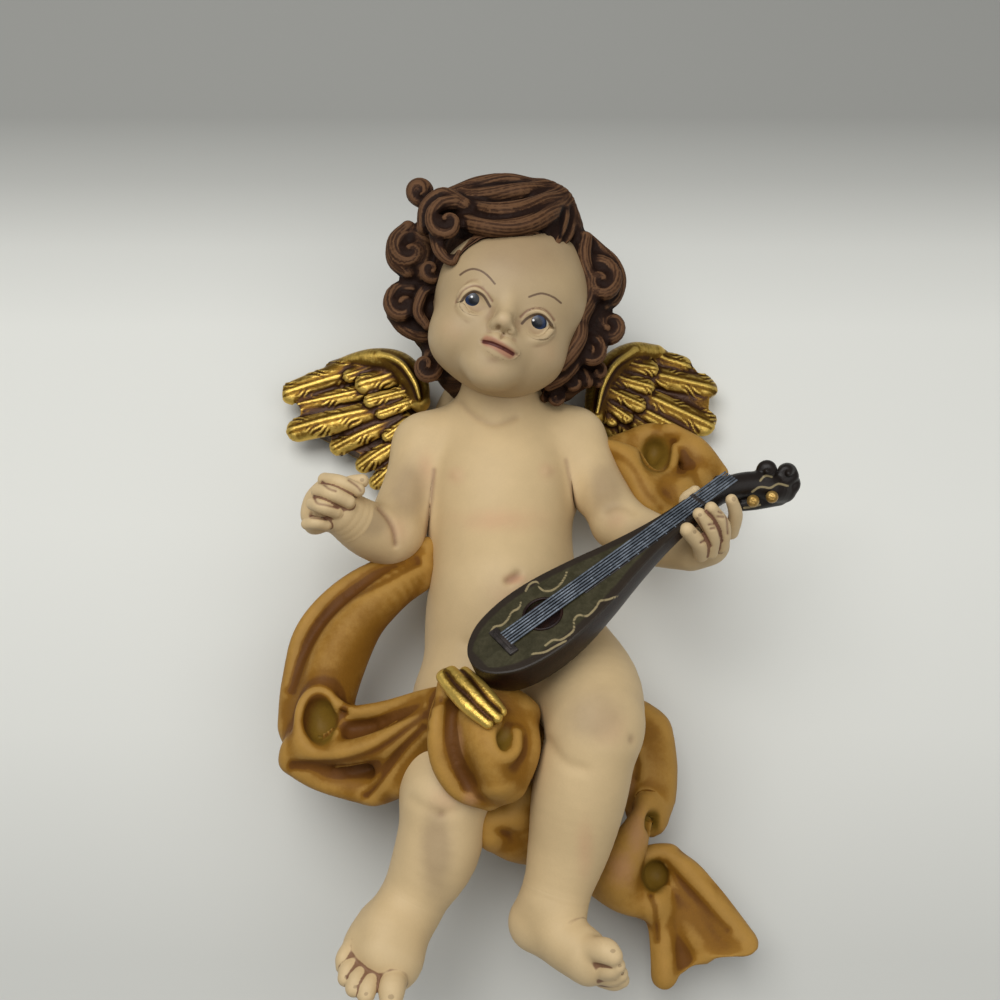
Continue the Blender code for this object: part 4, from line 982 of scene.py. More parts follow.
def shoulder_cloth():
    main_fold = limb((600, 448, 26, 5), (622, 456, 30, 6), (638, 480, 33, 6.5), (650, 503, 33, 6.5),
                     (668, 512, 32, 5))
    hollow_lip = limb((635, 455, 30, 3), (645, 472, 32, 3), (658, 479, 32, 3), (671, 470, 30, 3),
                      (676, 448, 27, 3))
    peak = limb((672, 430, 22, 3.5), (697, 450, 24, 5.5), (719, 474, 22, 5))
    lower = [limb((690, 455, 22, 7), (700, 475, 24, 7), (685, 495, 28, 8)),
             limb((655, 490, 30, 7), (675, 495, 30, 7))]
    behind = limb((610, 455, 14, 8), (650, 480, 14, 12), (690, 470, 12, 9))
    above = limb((628, 446, 15, 7), (652, 440, 15, 8), (680, 446, 15, 8))
    other_shoulder = limb((452, 398, 29, 4.4), (436, 403, 29, 4.8), (420, 411, 26, 4.4),
                          (407, 426, 21, 3.8),
                          (398, 450, 16, 3.0), blend=2)
    return [main_fold, hollow_lip, peak, *lower, behind, above, other_shoulder]


# Carving and washes of each piece

WRIST_LEFT = (at(353, 520, 47), at(342, 512, 52) - at(366, 528, 42))
WRIST_RIGHT = (at(682, 547, 51), at(690, 548, 53) - at(655, 540, 45))
ANKLE_RIGHT = (at(557, 889, 45), at(556, 893, 45) - at(570, 840, 49))
ANKLE_LEFT = (at(414, 897, 41), at(407, 912, 40) - at(415, 895, 41))
LIMB_END = 22.0          # how far round such a cut the body's casting is taken off
LAP = 2.2                # how far two castings reach into each other there


def body_forms():
    return torso() + arms() + legs()


def whole_body():
    return body_forms() + right_foot() + left_foot() + fist() + holding_hand()


def lapped(work, place, way):
    # sinks the end that reaches into the next casting, so that no seam shows
    past = (work.points - place) @ way / LAP
    near = np.linalg.norm(work.points - place, axis=1) < LIMB_END
    work.push(-0.4 * np.clip(past, 0, 1) * near)


def carved_body():
    made = cast("body", body_forms(), BODY_GRID, whole_body())
    ends = [(place, way / np.linalg.norm(way))
            for place, way in (WRIST_LEFT, WRIST_RIGHT, ANKLE_RIGHT, ANKLE_LEFT)]
    for place, way in ends:
        cropped(made, place + LAP * way, way, LIMB_END)
    work = Carving(made)
    work.points = work.relaxed(3)
    work.put_back()
    cropped(made, np.zeros(3), np.array((0, 1, 0)))
    hung(made)
    work = Carving(made)
    for place, way in ends:
        lapped(work, place, way)
    # carved creases at the neck, the elbows, the knees, the groin, the sides and the navel; those given a
    # strength are darkened along them as painted shade
    work.groove(0.7, 4.0, (459, 401), (470, 413), (483, 421), (497, 424), (516, 417), wash=0.35)
    work.groove(0.9, 3.0, (379, 507), (388, 518), (394, 530), (396, 545), wash=0.65)
    work.groove(0.7, 4.5, (606, 511), (614, 507), (624, 507), (633, 512), wash=0.2)
    work.groove(0.6, 6.0, (547, 741), (558, 757), (568, 765), (584, 770))
    work.groove(0.5, 6.0, (411, 799), (424, 808), (441, 813), (457, 811))
    work.groove(0.5, 6.0, (466, 644), (484, 652), (497, 660), wash=0.12)
    work.groove(0.2, 3.0, (434, 470), (431, 500), (427, 530), (425, 590), wash=0.6)
    work.groove(0.2, 3.0, (566, 460), (572, 490), (577, 515), wash=0.5)
    work.groove(1.3, 4.4, (508, 581), (513, 578), (518, 574), wash=0.55)
    work.spot("blush", 1.0, 515, 579, 13, 7)
    for u, v in ((456, 475), (547, 471)):
        work.push(0.4 * work.spot("blush", 0.55, u, v, 4.5))
        work.spot("blush", 0.5, u, v, 12)
    for u, v, wide, tall in ((500, 520, 60, 16), (520, 600, 40, 30), (608, 728, 22, 24), (443, 800, 20, 18),
                             (398, 530, 16, 20), (616, 520, 16, 14), (585, 850, 12, 40),
                             (425, 470, 12, 26)):
        work.spot("blush", 0.55, u, v, wide, tall)
    # patches of painted shade on the arms, the right thigh and the left shin
    for u, v, wide, tall in ((408, 490, 22, 34), (372, 522, 22, 16), (606, 490, 20, 32), (650, 535, 26, 16),
                             (596, 715, 34, 30), (436, 850, 18, 50)):
        work.spot("tan", 1.0, u, v, wide, tall)
    # two dimples, carved and darkened as painted shade
    work.push(-0.6 * work.spot("painted_shade", 0.5, 632, 740, 4, 6))
    work.push(-0.6 * work.spot("painted_shade", 0.5, 441, 815, 5, 4))
    work.hollows("hollow", 80, 2.6)
    work.finish(SKIN, "painted_resin")


# the hanging hole in the back: how wide, how deep and how far up
HOLE_RADIUS, HOLE_DEEP, HOLE_UP = 4.5, 8, 16
HOLE_SPARE = 4           # what the drill stands out behind the wall


def hung(made):
    bpy.ops.object.select_all(action="DESELECT")
    bpy.ops.mesh.primitive_cylinder_add(vertices=48, radius=HOLE_RADIUS, depth=HOLE_DEEP + HOLE_SPARE,
                                        location=(0, (HOLE_SPARE - HOLE_DEEP) / 2, HOLE_UP),
                                        rotation=(math.pi / 2, 0, 0))
    tool = bpy.context.object
    bpy.ops.object.transform_apply(location=True, rotation=True, scale=True)
    applied(made, "BOOLEAN", object=tool, operation="DIFFERENCE", solver="EXACT", use_hole_tolerant=True)
    bpy.data.objects.remove(tool)


def carved_hand(name, forms, grid, ends, lines, tips):
    place, way = ends
    way = -way / np.linalg.norm(way)
    made = cast(name, forms, grid, whole_body())
    cropped(made, place + LAP * way, way)
    work = Carving(made)
    lapped(work, place, way)
    # carved creases between and across the fingers, darkened along them as painted shade
    for line in lines:
        work.groove(0.3, 1.6, *line, wash=0.8)
    for u, v, wide, tall in tips:
        share = work.spot("nail", 1.0, u, v, wide, tall)
        work.push(-0.12 * np.clip(4 * share * (1 - share), 0, 1))
    work.hollows("fine_hollow", 6, 0.06)
    work.hollows("hollow", 60, 0.8)
    work.finish(HAND_SKIN, "painted_resin")


def carved_hands():
    stub = limb((390, 538, 34, 11), (366, 528, 42, 10), (342, 512, 52, 8.2))
    carved_hand("left_hand", fist() + [stub], HAND_GRID, WRIST_LEFT,
                [((322, 482), (328, 488), (336, 491)), ((314, 497), (317, 503), (326, 505), (338, 508)),
                 ((311, 517), (318, 518), (326, 519)), ((349, 480), (357, 486), (361, 491))],
                [(362, 480, 2.6, 2.2)])
    stub = limb((655, 540, 45, 9.2), (690, 548, 53, 8.2))
    carved_hand("right_hand", holding_hand() + [stub], HAND_GRID, WRIST_RIGHT,
                [((719, 512), (722, 513)), ((718, 517), (724, 517)), ((709, 525), (714, 524)),
                 ((711, 529), (715, 528)),
                 ((701, 543), (704, 541)), ((706, 511), (714, 519), (719, 531), (722, 541)),
                 ((697, 519), (703, 532), (711, 546)), ((724, 506), (727, 517), (728, 534))],
                [(734, 499, 2.4, 3.0), (703, 505, 2.2, 1.8), (700, 515, 2.4, 2.0), (695, 532, 2.2, 2.0)])


def carved_feet():
    stub = limb((570, 840, 49, 13.4), (556, 893, 45, 10.3))
    carved_hand("right_foot", right_foot() + [stub], FOOT_GRID, ANKLE_RIGHT,
                [],
                [(613, 951, 3.0, 2.4), (620, 966, 2.0, 1.8), (623, 974, 1.8, 1.6)])
    stub = limb((437, 850, 44, 13.8), (415, 895, 41, 10.5), (407, 912, 40, 9.3))
    carved_hand("left_foot", left_foot() + [stub], FOOT_GRID, ANKLE_LEFT,
                [],
                [(391, 997, 3.6, 2.8), (366, 994, 2.4, 2.0), (355, 987, 2.2, 1.8), (346, 977, 2.0, 1.8)])


# Face

BROWS = (
    ((460, 275), (466, 271), (473, 269), (481, 271), (488, 276), (495, 284)),
    ((529, 297), (536, 294.5), (543, 293.6), (553, 297), (561, 303)),
)
LID_CREASES = (
    ((456, 302), (463, 290.5), (474, 285.5), (484, 289.5), (492, 301)),
    ((521, 317), (528, 310.5), (537, 308), (546.5, 311), (554.5, 320)),
)
LASHES = (
    ((461, 302), (466, 295.5), (474, 291.6), (483, 295.5), (490, 306.5)),
    ((522, 323.5), (527, 318.5), (535, 314.8), (543.5, 316), (552, 325)),
)
MOUTH = ((483, 341.5), (491, 343.2), (499.5, 346.6), (507, 350.4), (513.5, 354.2))
EYES = ((475.0, 299.8, 11.2), (536.6, 323.2, 10.4))
EYE_DEEP = 26.5
EYE_RADIUS = 5.4
EYE_REACH = 25           # on the drawing, from an eye's middle to past its corners
GLINT_AT = (-3.2, -3.0)
# how far paint is drawn out from the brows, the lashes and the mouth, on the drawing
BROW_REACH, LASH_REACH, MOUTH_REACH = 6.0, 5.0, 8.0


def carved_face():
    made = cast("face", skull() + face() + lids() + face_cuts(), FACE_GRID)
    cropped(made, in_head(0, -6, 0), -HEAD_AXES[1])
    work = Carving(made)
    work.points = work.relaxed(1)
    # the lid creases and the philtrum are carved and darkened along them as painted shade
    for crease in LID_CREASES:
        work.groove(0.30, 1.4, *crease, wash=0.7)
    work.groove(0.35, 2.2, (504, 333), (501, 338), wash=0.3)
    work.groove(0.6, 2.0, *MOUTH)
    # painted shadow under the lower lip
    work.spot("painted_shade", 0.42, 493, 360, 9.5, 5.0)
    # painted shade over the brow below the fringe
    work.spot("tan", 1.0, 520, 250, 55, 28)
    # dented mouth corners, darkened as painted shade
    work.push(-0.4 * work.spot("painted_shade", 0.5, 481, 341, 2.2))
    work.push(-0.4 * work.spot("painted_shade", 0.5, 517, 354.5, 2.2))
    for u, v, wide, tall in ((452, 330, 20, 18), (548, 352, 18, 18), (503, 320, 10, 8), (490, 372, 18, 8)):
        work.spot("blush", 0.35, u, v, wide, tall)
    # painted shade beside the left ear, where the face meets the hair
    work.spot("painted_shade", 0.5, 430, 300, 8, 14)
    for name, routes, reach in (("brow_gap", BROWS, BROW_REACH), ("lash_gap", LASHES, LASH_REACH),
                                ("mouth_gap", (MOUTH,), MOUTH_REACH)):
        gap = np.minimum.reduce([line_gap(work.spots, rows, reach) for rows in routes])
        work.layers[name] = np.where(work.facing, gap, reach)
    work.groove(0.0, 6.4, (487, 341), (492, 342.5), (499, 346.5), (505, 350.5), (510, 353.5), wash=1.0,
                name="lips")
    work.hollows("fine_hollow", 6, 0.06)
    work.hollows("hollow", 70, 0.9)
    work.finish(FACE_SKIN, "painted_resin")


def eyes():
    # two painted balls behind the lids
    bpy.ops.object.select_all(action="DESELECT")
    made = []
    for u, v in EYE_BALLS:
        middle = on_face(u, v, EYE_DEEP) * MILLIMETRE
        bpy.ops.mesh.primitive_uv_sphere_add(segments=96, ring_count=64, radius=EYE_RADIUS * MILLIMETRE,
                                             location=middle)
        made.append(bpy.context.object)
    for ball_object in made:
        ball_object.select_set(True)
    bpy.ops.object.transform_apply(location=True, rotation=True, scale=True)
    bpy.ops.object.join()
    joined = bpy.context.object
    joined.name = joined.data.name = "eyes"
    count = len(joined.data.vertices)
    flat = np.empty(count * 3, np.float32)
    joined.data.vertices.foreach_get("co", flat)
    spots = seen(flat.reshape(-1, 3).astype(float) / MILLIMETRE)
    iris = np.minimum(*(np.linalg.norm(spots - (u, v), axis=1) / size for u, v, size in EYES))
    glint = np.minimum(*(np.linalg.norm(spots - (u, v) - GLINT_AT, axis=1) for u, v, size in EYES))
    lower = np.maximum(*(np.clip((spots[:, 1] - v) / size, -1, 1) * (abs(spots[:, 0] - u) < EYE_REACH)
                         for u, v, size in EYES))
    for name, values in (("iris_gap", iris), ("glint_gap", glint), ("lower", lower)):
        stored = joined.data.attributes.new(name, "FLOAT", "POINT")
        stored.data.foreach_set("value", values.astype(np.float32))
    joined.data.materials.append(EYE_PAINT)
    joined.data.shade_smooth()
    placed(joined, "painted_resin")


# Hair

STRAND = 1.9             # width of one carved strand


def strands(work, limbs):
    # combed grooves round each lock's route, and from the crown down on the rest.
    # The comb vector runs with the strands so that paint can be drawn out along them
    best = np.full(work.count, 2.5)
    wave = np.zeros(work.count)
    local = (work.points - SCALP.middle) @ SCALP.axes.T
    around = np.arctan2(local[:, 0], -local[:, 1] + 6.0)
    combed = around * 30 + 2.0 * np.sin(local[:, 2] * 0.11 + around * 7)
    comb = np.stack([around * 34, local[:, 2] * 0.06, np.zeros(work.count)], 1)
    for number, form in enumerate(limbs):
        low, high = form.box()
        near = np.flatnonzero(((work.points > low - 2.5) & (work.points < high + 2.5)).all(1))
        if not len(near):
            continue
        gap, turn, run = form.round_about(work.points[near])
        wide = form.rows[:, 3].mean()
        count = max(4, round(math.tau * wide / STRAND))
        closer = gap < best[near]
        chosen = near[closer]
        best[chosen], turn, run = gap[closer], turn[closer], run[closer]
        turn_shift = turn + 0.25 * np.sin(run * 0.22 + number)
        wave[chosen] = 0.6 * np.cos(turn_shift * count) + 0.5 * np.cos(turn_shift * (count // 2 + 1) + number)
        comb[chosen] = np.stack([wide * np.cos(turn), wide * np.sin(turn), run * 0.06 + 7.0 * number], 1)
    share = np.clip((best - 0.9) / 1.4, 0, 1)
    wave = wave * (1 - share) + np.cos(combed) * share
    work.vectors["comb"] = comb
    work.push(0.11 * wave)


def carved_hair():
    forms = hair_mass() + hair_cuts() + fringe() + curls()
    made = cast("hair", forms, HAIR_GRID, inset=1.2, rounds=4)
    work = Carving(made)
    strands(work, [f for f in forms if isinstance(f, Limb)])
    # a carved groove beside the forelock, darkened along it as painted shade
    work.groove(0.8, 3.0, (565, 208), (562, 222), (561, 236), wash=0.9)
    work.hollows("fine_hollow", 4, 0.10)
    work.hollows("hollow", 30, 1.0)
    work.finish(HAIR, "painted_resin")


def hair_cuts():
    # the face's opening, and the bare brow under the parting
    return [taken_out(head_ball(0.5, 32, -8.5, (30, 23, 29.3), blend=2)),
            taken_out(head_ball(0.5, 36, 5.0, (28, 22.5, 25), blend=2))]


# Wings

def carved_wing(name, forms):
    # feathers with a raised shaft and slanting barbs
    made = cast(name, forms, WING_GRID, blend=1.0, inset=0.2)
    work = Carving(made)
    work.points = work.relaxed(1)
    best = np.full(work.count, 1.2)
    ridge = np.zeros(work.count)
    for form in forms:
        if not isinstance(form, Feather):
            continue
        low, high = form.box()
        near = np.flatnonzero(((work.points > low - 1) & (work.points < high + 1)).all(1))
        gap = form.distance(work.points[near])
        closer = gap < best[near]
        chosen = near[closer]
        best[chosen] = gap[closer]
        along, side = form.along_across(work.points[chosen])
        slant = along - 2.0 * form.width * abs(side) + 0.9 * np.sin(along * 0.8 + form.root[2])
        barb = np.cos(slant * 1.6) * np.clip(np.sin(along * 0.45 + side * 2.5 + form.root[0]) + 0.3, 0, 1.2)
        shaft = np.exp(-(side / 0.12) ** 2) - 0.9 * np.exp(-((abs(side) - 0.26) / 0.12) ** 2)
        ridge[chosen] = 0.50 * barb * np.clip(2.0 * abs(side) - 0.4, 0, 1) + 0.30 * shaft
    work.push(ridge * 0.5 * (work.normals[:, 1] < 0.2))
    work.hollows("fine_hollow", 4, 0.09)
    work.hollows("hollow", 30, 0.7)
    work.finish(GOLD, "painted_resin")


# Drapery

OLIVE = ((323, 722, 15, 25), (656, 454, 17, 21), (655, 876, 14, 18), (505, 738, 9, 14), (654, 822, 8, 14))
PINK = ((638, 830, 14, 34), (620, 868, 20, 24), (628, 780, 8, 26), (470, 800, 12, 10), (458, 745, 7, 34))


# dished hollows: depth, place and size on the drawing
DENTS = ((3.5, 319, 722, 12, 21), (4.5, 654, 452, 9, 13), (4.0, 655, 876, 9, 13), (3.5, 652, 822, 5, 10),
         (3.0, 342, 713, 5, 6), (3.5, 505, 738, 6, 10))


def carved_cloth(name, forms, blend=5.0, inset=1.2):
    made = cast(name, forms, CLOTH_GRID, blend=blend, inset=inset)
    work = Carving(made)
    work.points = work.relaxed(8)
    # the fold valleys are carved and darkened along them as painted shade
    for deep, width, wash, *rows in FOLD_LINES:
        work.groove(deep, width, *rows, wash=wash)
    for deep, u, v, wide, tall in DENTS:
        work.push(-deep * work.patch(u, v, wide, tall))
    for u, v, wide, tall in OLIVE:
        work.spot("olive", 1.0, u, v, wide, tall)
    for u, v, wide, tall in PINK:
        work.spot("pink", 0.8, u, v, wide, tall)
    work.hollows("fine_hollow", 6, 0.12)
    work.hollows("hollow", 60, 1.8)
    work.finish(CLOTH, "painted_resin")


# carved fold valleys: depth, width, strength of the painted shade along them, and the route on the drawing
FOLD_LINES = (
    (0.7, 5.0, 0.45, (418, 562), (386, 579), (350, 597), (320, 624), (303, 655), (291, 690)),
    (0.6, 5.0, 0.4, (348, 728), (385, 722), (428, 706), (440, 700)),
    (1.0, 6.0, 0.7, (292, 766), (340, 764), (378, 750), (424, 714)),
    (0.8, 5.0, 0.6, (366, 796), (380, 780), (396, 756), (422, 728)),
    (0.8, 6.5, 0.45, (450, 704), (452, 735), (458, 762), (467, 786)),
    (0.3, 4.0, 0.5, (634, 752), (638, 765), (636, 778)),
    (0.3, 5.0, 0.2, (669, 872), (700, 900), (728, 930)),
    (0.4, 4.0, 0.5, (652, 896), (656, 912), (657, 940)),
    (0.4, 6.0, 0.2, (606, 450), (630, 464), (646, 492), (660, 508)),
    (0.3, 5.0, 0.15, (676, 442), (690, 462), (700, 488)),
)


def carved_drapery():
    carved_cloth("draped_loop", loop_cloth() + knot_cloth(), 6.0, 2.2)
    carved_cloth("lower_cloth", lower_cloth() + tail_cloth(), inset=0.7)
    carved_cloth("shoulder_cloth", shoulder_cloth())
    made = cast("gilt_border", gilt_border(), 0.5)
    work = Carving(made)
    work.hollows("fine_hollow", 4, 0.09)
    work.hollows("hollow", 30, 0.7)
    work.finish(GOLD, "painted_resin")


# Mandolin: modelled along its own strings, then turned into the hand

STRINGS = ((505, 644, 79.0), (697, 505, 73.0))
BOARD_TILT = 33.0        # how far the board looks up
# along the strings from the bridge, half width, depth of the bowl, millimetres
STATIONS = (
    (-12.2, 1.4, 5.0), (-11.2, 4.6, 10.0), (-8.0, 8.6, 15.0), (-1.5, 12.4, 19.0), (9.0, 14.4, 20.0),
    (21.0, 14.0, 19.5), (35.0, 11.4, 16.5), (48.0, 8.2, 13.0), (60.0, 5.8, 10.0), (70.0, 4.6, 8.0),
    (79.0, 4.2, 7.0),
)
BOARD_THICK = 0.9
SOUND_HOLE = (15.3, 0.0, 5.6)        # along, across, radius
STRING_SPREAD = (-2.75, -1.65, -0.55, 0.55, 1.65, 2.75)
STRING_RADIUS = 0.36
STRING_LIFT = 1.95


def mandolin_place():
    foot, nut = at(*STRINGS[0]), at(*STRINGS[1])
    along = (nut - foot) / np.linalg.norm(nut - foot)
    out = np.array((0, -math.cos(math.radians(BOARD_TILT)), math.sin(math.radians(BOARD_TILT))))
    out = out - (out @ along) * along
    out = out / np.linalg.norm(out)
    place = Matrix(np.stack([along, np.cross(out, along), out], 1).tolist()).to_4x4()
    place.translation = Vector(foot * MILLIMETRE)
    return place


def set_in_hand(made, colours):
    # turns a piece made along the strings into its place and finishes it
    only(made)
    made.matrix_world = mandolin_place() @ made.matrix_world
    bpy.ops.object.transform_apply(location=True, rotation=True, scale=True)
    made.data.materials.clear()
    made.data.materials.append(colours)
    made.data.name = made.name
    placed(made, "mandolin_paint")


def millimetres(*values):
    return tuple(v * MILLIMETRE for v in values)


def chosen(made, parts, test):
    # leaves selected only those vertices or faces of a piece that pass a test
    only(made)
    bpy.ops.object.mode_set(mode="EDIT")
    bpy.ops.mesh.select_mode(type="FACE" if parts == "polygons" else "VERT")
    bpy.ops.mesh.select_all(action="DESELECT")
    bpy.ops.object.mode_set(mode="OBJECT")
    for part in getattr(made.data, parts):
        part.select = test(part)
    bpy.ops.object.mode_set(mode="EDIT")


def mandolin_bowl():
    # one half-round ring drawn out along the strings, station by station
    stations = spline(STATIONS, 5)
    run, half, deep = stations[0]
    bpy.ops.object.select_all(action="DESELECT")
    bpy.ops.mesh.primitive_circle_add(vertices=40, radius=MILLIMETRE, fill_type="NGON",
                                      location=millimetres(run, 0, 0),
                                      rotation=(0, math.pi / 2, 0))
    bowl = bpy.context.object
    bowl.name = "mandolin_bowl"
    bpy.ops.object.transform_apply(location=True, rotation=True, scale=True)
    chosen(bowl, "vertices", lambda v: v.co.z > -1e-6)
    bpy.ops.transform.resize(value=(1, 1, 0), center_override=millimetres(run, 0, 0))
    bpy.ops.mesh.select_all(action="SELECT")
    bpy.ops.transform.resize(value=(1, half, deep), center_override=millimetres(run, 0, 0))
    for (run, half, deep), (next_run, next_half, next_deep) in zip(stations[:-1], stations[1:]):
        shift = {"value": millimetres(next_run - run, 0, 0)}
        bpy.ops.mesh.extrude_region_move(TRANSFORM_OT_translate=shift)
        bpy.ops.transform.resize(value=(1, next_half / half, next_deep / deep),
                                 center_override=millimetres(next_run, 0, 0))
    bpy.ops.mesh.select_all(action="SELECT")
    bpy.ops.mesh.normals_make_consistent(inside=False)
    bpy.ops.object.mode_set(mode="OBJECT")
    return bowl


def mandolin_board(bowl):
    # the bowl's flat front taken off as a board of its own, with a raised and rounded edge
    chosen(bowl, "polygons", lambda face: face.normal.z > 0.9)
    bpy.ops.mesh.duplicate()
    bpy.ops.mesh.separate(type="SELECTED")
    bpy.ops.mesh.select_mode(type="VERT")
    bpy.ops.object.mode_set(mode="OBJECT")
    board = next(o for o in bpy.context.selected_objects if o != bowl)
    board.name = "mandolin_board"
    only(board)
    bpy.ops.object.mode_set(mode="EDIT")
    bpy.ops.mesh.select_all(action="SELECT")
    bpy.ops.mesh.remove_doubles(threshold=1e-6)
    bpy.ops.mesh.subdivide(number_cuts=2)
    bpy.ops.mesh.extrude_region_move(TRANSFORM_OT_translate={"value": millimetres(0, 0, BOARD_THICK)})
    bpy.ops.mesh.extrude_region_move(TRANSFORM_OT_translate={"value": millimetres(0, 0, 0.3)})
    bpy.ops.transform.resize(value=(0.985, 0.97, 1), center_override=millimetres(20, 0, 0))
    bpy.ops.mesh.select_all(action="SELECT")
    bpy.ops.mesh.normals_make_consistent(inside=False)
    bpy.ops.object.mode_set(mode="OBJECT")
    return board


def sound_hole(*pieces):
    along, across, radius = SOUND_HOLE
    bpy.ops.object.select_all(action="DESELECT")
    bpy.ops.mesh.primitive_cylinder_add(vertices=64, radius=radius * MILLIMETRE, depth=6 * MILLIMETRE,
                                        location=millimetres(along, across, 0))
    tool = bpy.context.object
    for piece in pieces:
        applied(piece, "BOOLEAN", object=tool, operation="DIFFERENCE", solver="EXACT")
    bpy.data.objects.remove(tool)
    bpy.ops.object.select_all(action="DESELECT")
    bpy.ops.mesh.primitive_torus_add(major_segments=72, minor_segments=12,
                                     major_radius=(radius + 0.5) * MILLIMETRE,
                                     minor_radius=0.55 * MILLIMETRE,
                                     location=millimetres(along, across, BOARD_THICK + 0.25))
    ring = bpy.context.object
    ring.name = "mandolin_ring"
    return ring


SCROLLS = (
    ((490.6, 632.5), (494, 627), (502, 625), (508, 619), (512, 612), (519, 608), (521, 602)),
    ((525.6, 591), (530, 584), (536.6, 582), (540, 588), (545, 591), (553, 590), (560.6, 584), (565, 577),
     (567, 571)),
    ((545, 646), (553, 640), (560.6, 640), (570, 634), (574, 629), (574, 620), (579, 615), (587, 616),
     (595.6, 608),
     (600, 601), (606.6, 600), (616, 597), (624, 596)),
    ((532, 654), (545, 652), (556, 646), (566, 641)),
)


def board_marks(board):
    # paint layers of the board: how far each point is from the edge and from the gilt scrolls
    count = len(board.data.vertices)
    flat = np.empty(count * 3, np.float32)
    board.data.vertices.foreach_get("co", flat)
    local = flat.reshape(-1, 3).astype(float) / MILLIMETRE
    stations = spline(STATIONS, 5)
    edge = np.interp(local[:, 0], stations[:, 0], stations[:, 1]) - abs(local[:, 1])
    edge = np.minimum(edge, local[:, 0] - STATIONS[0][0])
    place = np.array(mandolin_place())
    spots = seen((np.c_[local * MILLIMETRE, np.ones(count)] @ place.T)[:, :3] / MILLIMETRE)
    scroll = np.minimum.reduce([line_gap(spots, rows, 6.0) for rows in SCROLLS])
    for name, values in (("edge_gap", edge), ("scroll_gap", scroll)):
        stored = board.data.attributes.new(name, "FLOAT", "POINT")
        stored.data.foreach_set("value", values.astype(np.float32))


def bar(name, low, high, round_edge=0.35):
    # a block between two corners with rounded edges
    bpy.ops.object.select_all(action="DESELECT")
    middle = [(a + b) / 2 for a, b in zip(low, high)]
    bpy.ops.mesh.primitive_cube_add(size=MILLIMETRE, location=millimetres(*middle))
    made = bpy.context.object
    made.name = name
    made.scale = [b - a for a, b in zip(low, high)]
    bpy.ops.object.transform_apply(location=True, rotation=True, scale=True)
    bpy.ops.object.mode_set(mode="EDIT")
    bpy.ops.mesh.select_all(action="SELECT")
    bpy.ops.mesh.bevel(offset=round_edge * MILLIMETRE, segments=3, affect="EDGES")
    bpy.ops.object.mode_set(mode="OBJECT")
    return made


def string():
    first, last = 0.8, 96.0
    bpy.ops.object.select_all(action="DESELECT")
    middle = millimetres((first + last) / 2, STRING_SPREAD[0], STRING_LIFT)
    bpy.ops.mesh.primitive_cylinder_add(vertices=12, radius=STRING_RADIUS * MILLIMETRE,
                                        depth=(last - first) * MILLIMETRE, location=middle,
                                        rotation=(0, math.pi / 2, 0))
    bpy.ops.object.transform_apply(location=True, rotation=True, scale=True)
    made = bpy.context.object
    made.name = "mandolin_strings"
    return made


def joined(pieces):
    only(pieces[0])
    for piece in pieces:
        piece.select_set(True)
    bpy.ops.object.join()
    return bpy.context.object


def copied(made, shift):
    copy = made.copy()
    copy.data = made.data.copy()
    bpy.context.scene.collection.objects.link(copy)
    copy.data.transform(Matrix.Translation(Vector(millimetres(*shift))))
    return copy


def peg(name, u, v, d):
    bpy.ops.object.select_all(action="DESELECT")
    bpy.ops.mesh.primitive_uv_sphere_add(segments=32, ring_count=20, radius=2.1 * MILLIMETRE,
                                         location=at(u, v, d) * MILLIMETRE)
    made = bpy.context.object
    made.name = made.data.name = name
    bpy.ops.object.transform_apply(location=True, rotation=True, scale=True)
    front = Vector(at(u, v, d + 1.2) * MILLIMETRE)
    chosen(made, "polygons", lambda face: (face.center - front).length < 1.1 * MILLIMETRE)
    bpy.ops.mesh.inset(thickness=0.25 * MILLIMETRE, depth=-0.35 * MILLIMETRE)
    bpy.ops.object.mode_set(mode="OBJECT")
    made.data.materials.append(PEG_GOLD)
    made.data.shade_smooth()
    placed(made, "mandolin_paint")


HEAD_SCROLLS = (
    ((752, 492), (760, 487), (770, 488), (778, 484), (788, 486)),
    ((760, 481), (765, 476), (772, 477)),
    ((744, 508), (752, 507), (760, 505)),
)


def headstock():
    forms = [
        limb((698, 507, 68, 4.0), (722, 491, 67, 4.2), (748, 485, 65, 4.6), (770, 488, 63, 5.0),
             (784, 492, 60, 3.8),
             blend=1.2),
        ball(719, 481, 69, (2.1, 1.9, 2.0), blend=0.7), ball(767, 470, 66, (3.2, 3.2, 3.2), blend=0.7),
        ball(787, 472, 64, (3.4, 3.4, 3.2), blend=0.7),
        curl(768, 471, 66, 7, 1.5, turns=1.0, start=160), curl(787, 473, 64, 8, 1.6, turns=1.0, start=30),
        limb((788, 476, 62, 2.8), (793, 484, 61, 2.6), (788, 492, 60, 2.6), blend=0.8),
        limb((742, 505, 62, 2.2), (756, 503, 62, 2.4), (780, 500, 58, 2.0), blend=0.8),
    ]
    made = cast("mandolin_headstock", forms, 0.5)
    work = Carving(made)
    gilt = np.minimum.reduce([line_gap(work.spots, rows, 6.0) for rows in HEAD_SCROLLS])
    work.layers["scroll_gap"] = np.where(work.facing, gilt, 6.0)
    work.layers["edge_gap"] = np.zeros(work.count)
    work.hollows("fine_hollow", 5, 0.08)
    work.hollows("hollow", 40, 0.6)
    work.finish(HEAD_WOOD, "mandolin_paint")


